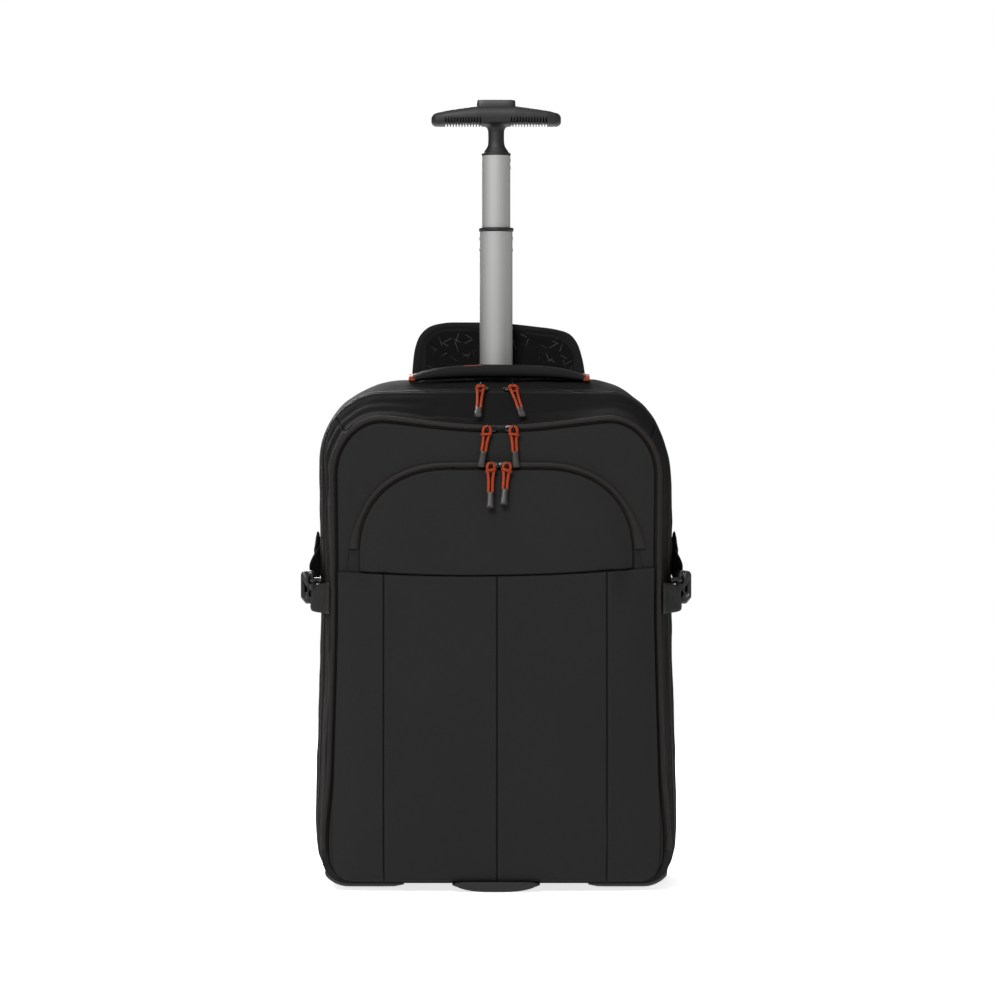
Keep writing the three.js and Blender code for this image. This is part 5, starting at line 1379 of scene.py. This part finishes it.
# how far a ring lies inside the outline, and its depth: the back, the edge, the raised border
COVER_ROWS = [(60, 121.4), (40, 121.3), (20, 120.9), (9, 120.4), (4, 120.0), (1.6, 119.6),
              (0.5, 118.6), (0, 117.4), (0, 116.4), (0.5, 115.4), (1.6, 114.7), (3.2, 114.5),
              (5.5, 114.5), (7.4, 114.9), (8.6, 115.6), (12, 115.7), (30, 115.8), (55, 115.8)]
rows = []
for inset, y in COVER_ROWS:
    ring = inset_rim(min(inset, 12))
    if inset > 12:
        ring = middle + (ring - middle) * (1 - (inset - 12) / 52)
    rows.append(np.insert(ring, 1, y, 1))
cover = np.stack(rows)
puffed = (0.5 * hills(cover[..., 0], cover[..., 2], 26, 81)
          * np.array([1] * 5 + [0] * 5 + [.6, 1, 1, .6, 0, 0, 0, 0])[:, None])
cover[..., 1] += np.where(cover[..., 1] > 117.5, puffed, -puffed)
from_edge = np.array([NO_SEAM] * 10 + [1.6, 3.2, 5.5, 7.4, 8.6] + [NO_SEAM] * 3)
flap = outwards(surface("trolley_cover", cover, ring=True, fans=(True, True),
                        cloth=cover[..., [0, 2]] + 100,
                        seam=np.stack(np.broadcast_arrays(from_edge[:, None],
                                                          spans(cover, 1)), -1)))
wear(flap, handle_cloth, stands_for=["trolley_flap"])


def strokes(name):
    """Pale strokes on a dark smooth ground: four sets of thin lines at different angles, each cut
    into short dashes that move on from line to line, and thinned out by slow noise."""
    b = Bench(name, Roughness=0.8, Specular_IOR_Level=0.08)
    u, v = b.map("UVMap")
    drawn = None
    sets = ((62, 9.0, 23), (118, 11.0, 29), (18, 14.0, 31),
            (160, 17.0, 37))   # degrees, pitch, dash
    for k, (angle, pitch, dash) in enumerate(sets):
        c, s = np.cos(np.radians(angle)), np.sin(np.radians(angle))
        across, along = u * c + v * s + 3.7 * k, v * c - u * s + 5.3 * k
        line = (across / pitch).part()
        row = (across / pitch) - line
        cut = (along / dash + row * 0.37).part().below(0.3)
        ink = (line * pitch).below(0.55) * cut
        drawn = ink if drawn is None else drawn.most(ink)
    faint = b.noise(42, 2, 0.5).rise(0.42, 0.62)
    ground = b.mix(b.noise(120, 3, 0.6), shade(10), shade(15))
    b.colour(b.mix(drawn * faint * 0.5, ground, shade(92)))
    b.relief((u + v).wave(0.8) * 0.4 + b.noise(60, 3, 0.6), 0.0002)
    return b.material


lining_print = strokes("lining_print")
LEFT, RIGHT, FOOT = -71, 77.5, 493.2          # the lining's ends, and where it leaves the bag
x = np.linspace(LEFT, RIGHT, 110)[None]
t = np.linspace(0, 1, 46)[:, None]
top_z = np.interp(x, *rim[:180].T)
rounding = 9 * (1 - np.minimum(1, np.minimum(x - LEFT, RIGHT - x) / 16)) ** 2
z = FOOT + (top_z - 8.6 - rounding - FOOT) * t
sag = 0.9 * hills(x + 0 * z, z + 0 * x, 30, 91) + 0.5 * hills(x + z, x - z, 17, 92, 44)
held = np.clip(np.minimum(np.minimum(x - LEFT, RIGHT - x) / 10, np.minimum(t, 1 - t) * 5), 0, 1)
cloth = np.stack(np.broadcast_arrays(x, 114.3 - (sag - 0.6) * held, z), -1)
lining = facing(surface("cover_lining", cloth,
                        cloth=np.stack(np.broadcast_arrays(x + 90, z - 480), -1)), (0, -1, 0))
modifier(lining, "SOLIDIFY", thickness=0.0008, offset=-1)
wear(lining, lining_print, stands_for=["flap_lining"])
print("cover", len(flap.data.polygons), "lining", len(lining.data.polygons), "faces")

# %% [markdown]
# ## Wheels, foot and guards
# The wheels sit in the rear corners, in moulded housings that are open below and behind. A tyre
# is a lathe form with two grooves, and the hub has six ribs on each side. Under the front edge a
# curved foot keeps the bag upright, and two guards wrap the lower corners.

# %% Housings, tyres and hubs
def arch_room(x, radius, half, low, rear):
    """The arch over the axle, cut off behind at a depth."""
    ends = well(x, radius, half, low)
    ends[..., 1] = np.minimum(ends[..., 1], rear)
    return outwards(surface("arch_room", ends, ring=True, fans=(True, True)))


def turned(name, profile, x=WHEEL_X, count=96):
    """A lathe form about the axle from points (radius, along the axle)."""
    profile = np.asarray(profile, float)
    a = np.arange(count) / count * 2 * np.pi
    rings = np.stack(np.broadcast_arrays(x + profile[:, 1:], WHEEL_Y + profile[:, :1] * np.cos(a),
                                         WHEEL_R + profile[:, :1] * np.sin(a)), -1)
    return crisp(outwards(surface(name, rings, ring=True, loop=True)), 40)


housing = arch_room(WHEEL_X, 37.5, 15, 7.0, 122.5)
cut_out(housing, [arch_room(WHEEL_X, 35, 12.5, 0, 140)])
axle = turned("axle", [(0.5, -14.5), (4, -14.5), (4, 14.5), (0.5, 14.5)], count=32)
housing = joined("wheel_arch_right", [housing, axle])
wear(housing, dark_plastic, stands_for=["wheel_housing_right"])
wear(mirrored(housing, "wheel_arch_left"), dark_plastic,
     stands_for=["wheel_housing_left"])

tread = [(21.3, -10), (24, -10.6), (27.5, -11), (30.2, -10.2), (31.5, -8.8), (32, -7.2),
         (32, -4.4), (31.1, -4.1), (31.1, -3.1), (32, -2.8)]      # the same again on the other side
tyre = turned("tread_right", tread + [(r, -x) for r, x in tread[::-1]])
wear(tyre, tyre_rubber, "wheel_right", ["tyre_right"])
wear(mirrored(tyre, "tread_left"), tyre_rubber, "wheel_left", ["tyre_left"])
hub_line = [(4.3, -11), (8.6, -11), (9.2, -10.4), (10, -5.4), (16.6, -5.0), (17.8, -9.2),
            (18.4, -9.7), (20.4, -9.7), (21, -9.2)]
hub = turned("hub_right", hub_line + [(r, -x) for r, x in hub_line[::-1]])
ribs = [hub]
for k in range(6):
    for side in (-1, 1):
        rib = block("rib", (WHEEL_X + min(side * 9, side * 4), -1.3, 9),
                    (WHEEL_X + max(side * 9, side * 4), 1.3, 18), 0.5)
        applied(rib)
        co = np.array([v.co[:] for v in rib.data.vertices]) * 1000 + (0, BACK, 0)
        a = k * np.pi / 3
        y, z = co[:, 1].copy(), co[:, 2].copy()
        co[:, 1] = WHEEL_Y + y * np.cos(a) - z * np.sin(a)
        co[:, 2] = WHEEL_R + y * np.sin(a) + z * np.cos(a)
        rib.data.vertices.foreach_set("co", metres(co).astype(np.float32).ravel())
        rib.data.update()
        ribs.append(outwards(rib))
hub = joined("hub_right", ribs)
wear(hub, dark_plastic, "wheel_right", ["wheel_hub_right"])
wear(mirrored(hub, "hub_left"), dark_plastic, "wheel_left", ["wheel_hub_left"])
print("wheels", len(tyre.data.polygons), len(hub.data.polygons), "faces")

# %% Foot and corner guards
a = np.linspace(0, np.pi, 61)
arc = np.stack([42 * np.cos(a), 6.7 * np.abs(np.cos(a)) ** 3.2], -1)
notch = 0.5 * np.exp(-((arc[:, 1] - 4.7) / 0.35) ** 2)
arc[:, 0] -= np.sign(arc[:, 0]) * notch
arc[:, 1] += notch * 0.5
lid = np.stack([np.linspace(-41, 41, 30)[1:-1], np.full(28, 6.7)], -1)
ring = np.concatenate([arc, lid])
rows = [-75, -74.8, -74, -72.5, -70, -69.4, -40, -37.5, -36, -35.2, -35]
shrink = [0.95, 0.975, 0.99, 1, 1, 1, 1, 1, 0.99, 0.965, 0.93]
foot = np.stack([np.insert((ring - (0, 6.7)) * k + (0, 6.7), 1, y, 1)
                 for y, k in zip(rows, shrink)])
lip = np.where(foot[:5, :, 2] > 6.6, 2.9 * (1 - np.abs(foot[:5, :, 0] / 42) ** 10), 0)
foot[:5, :, 2] += lip
foot = crisp(outwards(surface("front_foot", foot, ring=True, fans=(True, True))), 50)
wear(foot, foot_rubber, stands_for=["stand_foot"])

y_rows = np.array([-60.3, -60.2, -59.6, -58, -54, -48, -42, -36, -30, -26, -24, -22.8,
                   -22.4, -22.3])
thick = np.array([.55, .75, .95, 1, 1, 1, 1, 1, 1, 1, .95, .85, .7, .5]) * 3.0
inner = outline(np.maximum(y_rows, -60), -0.3)
chosen = np.where((inner[0, :, 0] > 80) & (inner[0, :, 2] < 20))[0]
chosen = chosen[np.argsort(inner[0, chosen, 0] + inner[0, chosen, 2])]
inner = inner[:, chosen]
inner[..., 1] = y_rows[:, None]
ends = np.clip(np.sin(np.linspace(0, 1, len(chosen)) * np.pi) * 4, 0.12, 1) ** 0.5
normal = ring_out(outline(np.maximum(y_rows, -60), -0.3))[:, chosen]
outer = inner + normal * (thick[:, None] * ends)[..., None]
guard = np.concatenate([inner, outer[:, ::-1]], 1)
guard = crisp(outwards(surface("guard_right", guard, ring=True, fans=(True, True))), 50)
wear(guard, dark_plastic, stands_for=["corner_guard_right"])
wear(mirrored(guard, "guard_left"), dark_plastic, stands_for=["corner_guard_left"])
print("guard columns", len(chosen))

# %% [markdown]
# ## Straps and buckles
# Each side has a compression strap of woven webbing. It comes from a sewn end on the rear
# compartment, runs through a side-release buckle and ends in a folded tab on the front edge.
# A ribbon is a thin rounded rectangle carried along a smooth line. The buckle's two halves are
# blocks with rounded edges, with the slots and windows cut out.

# %% Straps
def ribbon(name, points, width, thick, across, count=60, columns=14, crown=0.0):
    """A band along a smooth line: across is the direction of its width. Its section is a
    rectangle with rounded ends, and crown fills its middle."""
    line = curve_through(points, count)
    share = np.linspace(0, 1, count)
    given = spans(np.asarray(points, float)[None], 1)[0]
    width = np.interp(share, given / given[-1], np.broadcast_to(width, (len(points),)))
    run = np.gradient(line, axis=0)
    run /= np.linalg.norm(run, axis=1, keepdims=True)
    across = np.broadcast_to(np.asarray(across, float), run.shape)
    up = np.cross(run, across)
    up /= np.linalg.norm(up, axis=1, keepdims=True)
    side = np.cross(up, run)
    w = np.linspace(-1, 1, columns)
    half_t = thick / 2
    full = np.sqrt(np.clip(1 - np.abs(w) ** 10, 0.05, 1)) * (1 + crown * (1 - w * w))
    top = np.stack([w, full], -1)
    section = np.concatenate([top, (top * (1, -1))[::-1]])
    grid = (line[:, None] + side[:, None] * (section[:, 0] * width[:, None] / 2)[..., None]
            + up[:, None] * (section[:, 1] * half_t)[:, None])
    u_map = section[:, 0] * width[:, None] / 2 + 40
    v_map = spans(line[None], 1)[0][:, None] + 0 * u_map
    edge = (1 - np.abs(section[:, 0])) * width[:, None] / 2 + 0.02
    piece = surface(name, grid, ring=True, fans=(True, True), cloth=np.stack([u_map, v_map], -1),
                    seam=np.stack([edge, v_map], -1))
    return outwards(piece)


SIDE_AT = lambda y, z: float(side_x(y, z))
BUCKLE_X, BUCKLE_Z, SOCKET_BACK, SOCKET_FRONT = 176.3, 289.0, 22.5, -5.5
web_x = BUCKLE_X + 6.2
rear_points = [(web_x, SOCKET_BACK + 0.3, BUCKLE_Z),
               (web_x - 1, SOCKET_BACK + 11.9, BUCKLE_Z + 9.1),
               (SIDE_AT(52.4, BUCKLE_Z) + 1.5, 52.4, BUCKLE_Z + 28.1),
               (SIDE_AT(66.5, BUCKLE_Z) + 1.4, 66.5, BUCKLE_Z + 38)]
rear_band = ribbon("side_strap_rear_right", rear_points, 25, 1.6, (0, 0, 1))
tab = [np.array(rear_points[-1]) + (1.7, 6.0, 6.5), np.array(rear_points[-1]) + (3.0, -4, -2),
       np.array(rear_points[-1]) + (3.9, -17, -10.5)]
rear_tab = ribbon("sewn_tab_right", tab, 25, 2.8, (0, 0, 1), 24)
front_points = [(web_x - 3.6, -17.1, BUCKLE_Z - 3.9), (web_x - 5.4, -24.8, BUCKLE_Z - 9.1),
                (SIDE_AT(-40, BUCKLE_Z) + 1.2, -40, BUCKLE_Z - 9.5),
                (SIDE_AT(-52, BUCKLE_Z) + 1.1, -52, BUCKLE_Z - 9.5)]
front_band = ribbon("side_strap_front_right", front_points, (25, 26, 30, 30), 1.6, (0, 0, 1))
fold = [(web_x - 3.8, -16.2, BUCKLE_Z - 3.5), (web_x - 6.2, -23.5, BUCKLE_Z - 8.5),
        (SIDE_AT(-36, BUCKLE_Z) + 4.0, -36, BUCKLE_Z - 11.5)]
front_fold = ribbon("folded_tab_right", fold, 26, 1.5, (0, 0, 1), 24)
for piece, node in ((rear_band, "rear_strap"), (rear_tab, "rear_strap"),
                    (front_band, "front_strap"), (front_fold, "front_strap")):
    wear(piece, strap_web, stands_for=[node + "_right"])
    wear(mirrored(piece, piece.name.replace("right", "left")), strap_web,
         stands_for=[node + "_left"])
print("straps", len(rear_band.data.polygons), "faces each")

# %% Buckles
x0, x1, z0, z1 = BUCKLE_X, BUCKLE_X + 14, BUCKLE_Z - 16, BUCKLE_Z + 16
shape = [(x0, z0 + 4), (x0 + 3, z0), (x1 - 5, z0), (x1, z0 + 6), (x1, z1 - 3), (x1 - 3, z1),
         (x0 + 3, z1), (x0, z1 - 4)]
socket = prism("socket", shape, 1, SOCKET_FRONT, SOCKET_BACK, 1.0)
applied(socket)
mouth = block("mouth", (x0 + 2.5, SOCKET_FRONT - 1, z0 + 4), (x1 - 2.5, SOCKET_BACK - 5, z1 - 4), 0)
window = block("window", (x0 + 2.5, SOCKET_FRONT + 8, z0 - 1),
               (x1 - 2.5, SOCKET_BACK - 9, z1 + 1), 0)
slot_a = block("slot_a", (x1 - 3.5, SOCKET_BACK - 7.5, z0 + 5),
               (x1 + 1, SOCKET_BACK - 5.5, z1 - 5), 0)
cut_out(socket, [mouth, window, slot_a])
socket.name = "buckle_body_right"
bar_shape = [(x0 + 1, z0 + 3), (x0 + 2.5, z0 + 1), (x1 - 6, z0 + 1), (x1 - 1, z0 + 7),
             (x1 - 0.6, z1 - 3), (x1 - 2.4, z1), (x1 - 6, z1 + 0.3),
             (x1 - 8, z1 - 2.2), (x0 + 3, z1 - 1), (x0 + 1, z1 - 3)]
latch = prism("latch", bar_shape, 1, -16.8, SOCKET_FRONT - 0.3, 1.1)
applied(latch)
eye = lambda x, z, w, h: [(x + w * np.cos(t), z + h * np.sin(t))
                          for t in np.arange(14) / 14 * 2 * np.pi]
EYES = [(x0 + 4.0, BUCKLE_Z + 7, 2.0, 3.4, -8), (x0 + 8.4, BUCKLE_Z - 1.4, 1.5, 3.6, -8),
        (x0 + 4.2, BUCKLE_Z - 6, 1.7, 3.2, -10)]     # x, z, half width, half height, how deep
cut_out(latch, [prism("eye", eye(x, z, w, h), 1, -20, end, 0) for x, z, w, h, end in EYES])
arms = [block("arm", (x0 + 2.9, SOCKET_FRONT - 1.5, min(a, b)),
              (x1 - 2.9, SOCKET_BACK - 8, max(a, b)), 0.6)
        for a, b in ((BUCKLE_Z + 11.7, BUCKLE_Z + 7.7), (BUCKLE_Z - 11.7, BUCKLE_Z - 7.7))]
rod = curve_through([(x0 + 4.5, -17.5, BUCKLE_Z + 7.5), (x0 - 1, -19.5, BUCKLE_Z + 7.2),
                     (x0 - 8.5, -24.5, BUCKLE_Z + 6.4)], 24)
bar = outwards(surface("bar",
                       tube(rod, np.linspace(2.2, 3.7, 24)
                            * np.sqrt(np.clip(1 - np.linspace(-1, 1, 24) ** 8, 0.1, 1)), 16,
                            up=(0, 0, 1)), ring=True, fans=(True, True)))
for arm in arms:
    applied(arm)
latch = joined("buckle_latch_right", [latch, *arms, bar])
for piece, node in ((socket, "buckle_socket"), (latch, "buckle_prongs")):
    wear(piece, buckle_plastic, stands_for=[node + "_right"])
    wear(mirrored(piece, piece.name.replace("right", "left")), buckle_plastic,
         stands_for=[node + "_left"])
print("buckle", len(socket.data.polygons), len(latch.data.polygons), "faces")

# %% [markdown]
# ## The back
# The back isn't in the photograph. It gets what bags of this kind have: a foam pad under open
# spacer mesh, with a channel in its middle and two cross seams, and two padded shoulder straps
# of the handle's twill that end in webbing and an adjuster.

# %% Back pad
def spacer_mesh(name, grey):
    """Small holes in a honeycomb, 2.6 mm apart: two waves across each other."""
    b = Bench(name, Roughness=0.85, Specular_IOR_Level=0.2, Sheen_Weight=0.08)
    u, v = b.map("UVMap")
    hole = ((u.wave(2.6) * (v * 0.58).wave(2.6)).most((u + 1.3).wave(2.6)
                                                      * (v * 0.58 + 1.3).wave(2.6))).rise(0.45, 0.7)
    cloud = b.noise(20, 3, 0.6)
    b.colour(b.mix(hole, b.mix(cloud, shade(grey * 0.9), shade(grey * 1.15)), shade(grey * 0.35)))
    b.relief(1 - hole, 0.0005)
    return b.material


pad_mesh = spacer_mesh("pad_mesh", 40)
PAD_HALF, PAD_LOW, PAD_TALL, PAD_Y, PAD_THICK = 122, 92, 360, 120.3, 8
at = np.concatenate([[0, 0.004, 0.012], np.linspace(0.025, 0.975, 120), [0.988, 0.996, 1]])
pad_at = [0, .06, .16, .84, .94, 1]
pad_full = [.30, .85, 1, 1, .85, .30]
thick = eased(pad_at, pad_full, 0.02)(at) * PAD_THICK
end_at = np.array([0, .01, .025, .05, .08, .12, .16])
end_wide = np.array([.80, .855, .90, .945, .975, .995, 1])
wide = PAD_HALF * np.interp(np.minimum(at, 1 - at), end_at, end_wide)
u = spread(90, 1.8)
z = PAD_LOW + PAD_TALL * at
x = wide[:, None] * u
full = 1 - 0.75 * np.abs(u) ** 8
channel = 3.4 * np.exp(-(x / 13) ** 4)
cross = [dent(np.abs(z[:, None] - place + 0.0012 * x ** 2), 2.2, 2.4, 0.5, 9)
         for place in (205, 330)]
to_edge = 1 - np.abs(u)
face = PAD_Y + full * thick[:, None] - np.clip(channel, 0, full * thick[:, None] * 0.5)
face = face + (cross[0] + cross[1]) * np.clip(to_edge * 8, 0, 1)
slack = 0.5 * (hills(x, z[:, None] + 0 * x, 40, 101) - 0.5)
face = (face
        + slack * np.clip(to_edge * 6, 0, 1) * np.clip(np.minimum(at, 1 - at) * 20, 0, 1)[:, None])
front = np.stack(np.broadcast_arrays(x, face, z[:, None]), -1)
flat_u = np.array([0.96, 0.5, 0, -0.5, -0.96])
flat = np.stack(np.broadcast_arrays(wide[:, None] * flat_u, PAD_Y, z[:, None]), -1)
pad = np.concatenate([front, flat], 1)
pad = outwards(surface("pad_soft", pad, ring=True, fans=(True, True),
                       cloth=np.concatenate([front[..., [0, 2]] + 200,
                                             flat[..., [0, 2]] + 200], 1)))
wear(pad, pad_mesh, stands_for=["back_pad"])
print("pad", len(pad.data.polygons), "faces")

# %% Shoulder straps, webbing and adjusters
pad_y = lambda z: PAD_Y + PAD_THICK * float(np.interp((z - PAD_LOW) / PAD_TALL, pad_at, pad_full))
STRAP_TOP, STRAP_FALL, STRAP_WIDE, WEB_END = 438, 332, 58, 106
# down, off the pad, outwards, width: each as a share of its largest value
strap_table = [(0, 0, 0, .80), (.06, .42, 0, .95), (.18, .82, .08, 1),
               (.40, 1, .25, 1), (.62, .85, .50, .92), (.78, .60, .75, .70)]
points, widths = [], []
for down, off, out_share, wide_share in strap_table:
    z = STRAP_TOP - STRAP_FALL * down
    points.append(((0.508 + 0.295 * out_share) * PAD_HALF, pad_y(z) + 5.8 + 22 * off, z))
    widths.append(STRAP_WIDE * wide_share)
band = ribbon("shoulder_soft_right", points, widths, 10.4, (1, 0, 0), 110, 40, 0.06)
wear(band, handle_cloth, stands_for=["shoulder_strap_right"])
other = wear(mirrored(band, "shoulder_soft_left"), handle_cloth,
             stands_for=["shoulder_strap_left"])

end = points[-1]
low_z = end[2] - 0.3
ex, ey = end[0], end[1] - 5.5
lock = block("adjuster_right", (ex - 16.5, ey + 2, low_z - 14), (ex + 16.5, ey + 8, low_z), 1.2)
applied(lock)
cut_out(lock, [block("slot", (ex - 13, ey - 2, low_z - 6.2), (ex + 13, ey + 12, low_z - 3.4), 0),
               block("slot", (ex - 13, ey - 2, low_z - 11.6), (ex + 13, ey + 12, low_z - 8.8), 0)])
lock.name = "adjuster_right"
wear(lock, dark_plastic, stands_for=["strap_adjuster_right"])
wear(mirrored(lock, "adjuster_left"), dark_plastic, stands_for=["strap_adjuster_left"])
web = [(ex, ey + 4, low_z - 14.3), (ex + 4, ey - 1, (low_z + WEB_END) / 2 - 6),
       (ex + 8, pad_y(WEB_END) + 1.1, WEB_END)]
band = ribbon("shoulder_web_right", web, 25, 1.6, (1, 0, 0), 50)
wear(band, strap_web, stands_for=["strap_webbing_right"])
wear(mirrored(band, "shoulder_web_left"), strap_web, stands_for=["strap_webbing_left"])
print("shoulder straps, webbing and adjusters ready")

# %% [markdown]
# ## Studio
# A plain pale floor and a white room. Three soft lights serve the photograph's side: a large one
# in front and to the left, a weaker one to the right, and one above for the shoulders and the
# grip. Behind the bag a strong one shows the dark back, and a weak one on each side keeps the
# side walls from going black without brightening the front.

# %% Floor, room and lights
floor = surface("studio_floor",
                np.array([[(-2500.0, -2400, 0), (2500, -2400, 0)],
                          [(-2500, 2500, 0), (2500, 2500, 0)]]))
floor.data.transform(Matrix.Translation((0, 0, -0.0004)))
paper = Bench("pale_paper", Roughness=0.9, Specular_IOR_Level=0.1, Emission_Color=(1, 1, 1, 1),
              Emission_Strength=0.75)
paper.colour(paper.mix(paper.noise(3, 2, 0.5), (0.93, 0.93, 0.93, 1), (0.96, 0.96, 0.96, 1)))
floor.data.materials.append(paper.material)

world = bpy.data.worlds.new("white_room")
bpy.context.scene.world = world
world.use_nodes = True
nodes, links = world.node_tree.nodes, world.node_tree.links
seen = nodes.new("ShaderNodeBackground")
seen.inputs["Color"].default_value = (1, 1, 1, 1)
mixer = nodes.new("ShaderNodeMixShader")
ray = nodes.new("ShaderNodeLightPath")
nodes["Background"].inputs["Color"].default_value = (1, 1, 1, 1)
nodes["Background"].inputs["Strength"].default_value = 0.15
links.new(ray.outputs["Is Camera Ray"], mixer.inputs[0])
links.new(nodes["Background"].outputs[0], mixer.inputs[1])
links.new(seen.outputs[0], mixer.inputs[2])
links.new(mixer.outputs[0], nodes["World Output"].inputs["Surface"])


def softbox(name, place, target, size, power, angle):
    """A square area light that looks at a point. A smaller spread is a grid before the lamp."""
    lamp = bpy.data.lights.new(name, "AREA")
    lamp.shape, lamp.size, lamp.energy = "SQUARE", size, power
    lamp.spread = np.radians(angle)
    box = bpy.data.objects.new(name, lamp)
    box.location = place
    box.rotation_euler = (Vector(target) - Vector(place)).to_track_quat("-Z", "Y").to_euler()
    bpy.context.scene.collection.objects.link(box)


# name, place, the height it looks at, edge in metres, watts, spread in degrees
LIGHTS = [("key", (-0.6, -1.9, 1.9), 0.66, 1.0, 12, 75),
          ("fill", (1.9, -2.2, 1.6), 0.5, 1.6, 3, 180),
          ("top", (0, -0.3, 2.4), 0.3, 1.4, 14, 180),
          ("rear", (-0.5, 2.3, 1.3), 0.35, 1.3, 34, 100),
          ("side_left", (-2.2, -0.1, 1.1), 0.35, 1.2, 1.4, 110),
          ("side_right", (2.2, 0.2, 1.1), 0.35, 1.2, 2.4, 110)]
for name, place, height, size, power, angle in LIGHTS:
    softbox(name, place, (0, 0, height), size, power, angle)
print("lights", len(LIGHTS))

# %% [markdown]
# ## Last update of the scene
# Both boxes go into one file: the CAD model's, kept at the start, and the dressed model's.

# %% Finish
bpy.context.view_layer.update()
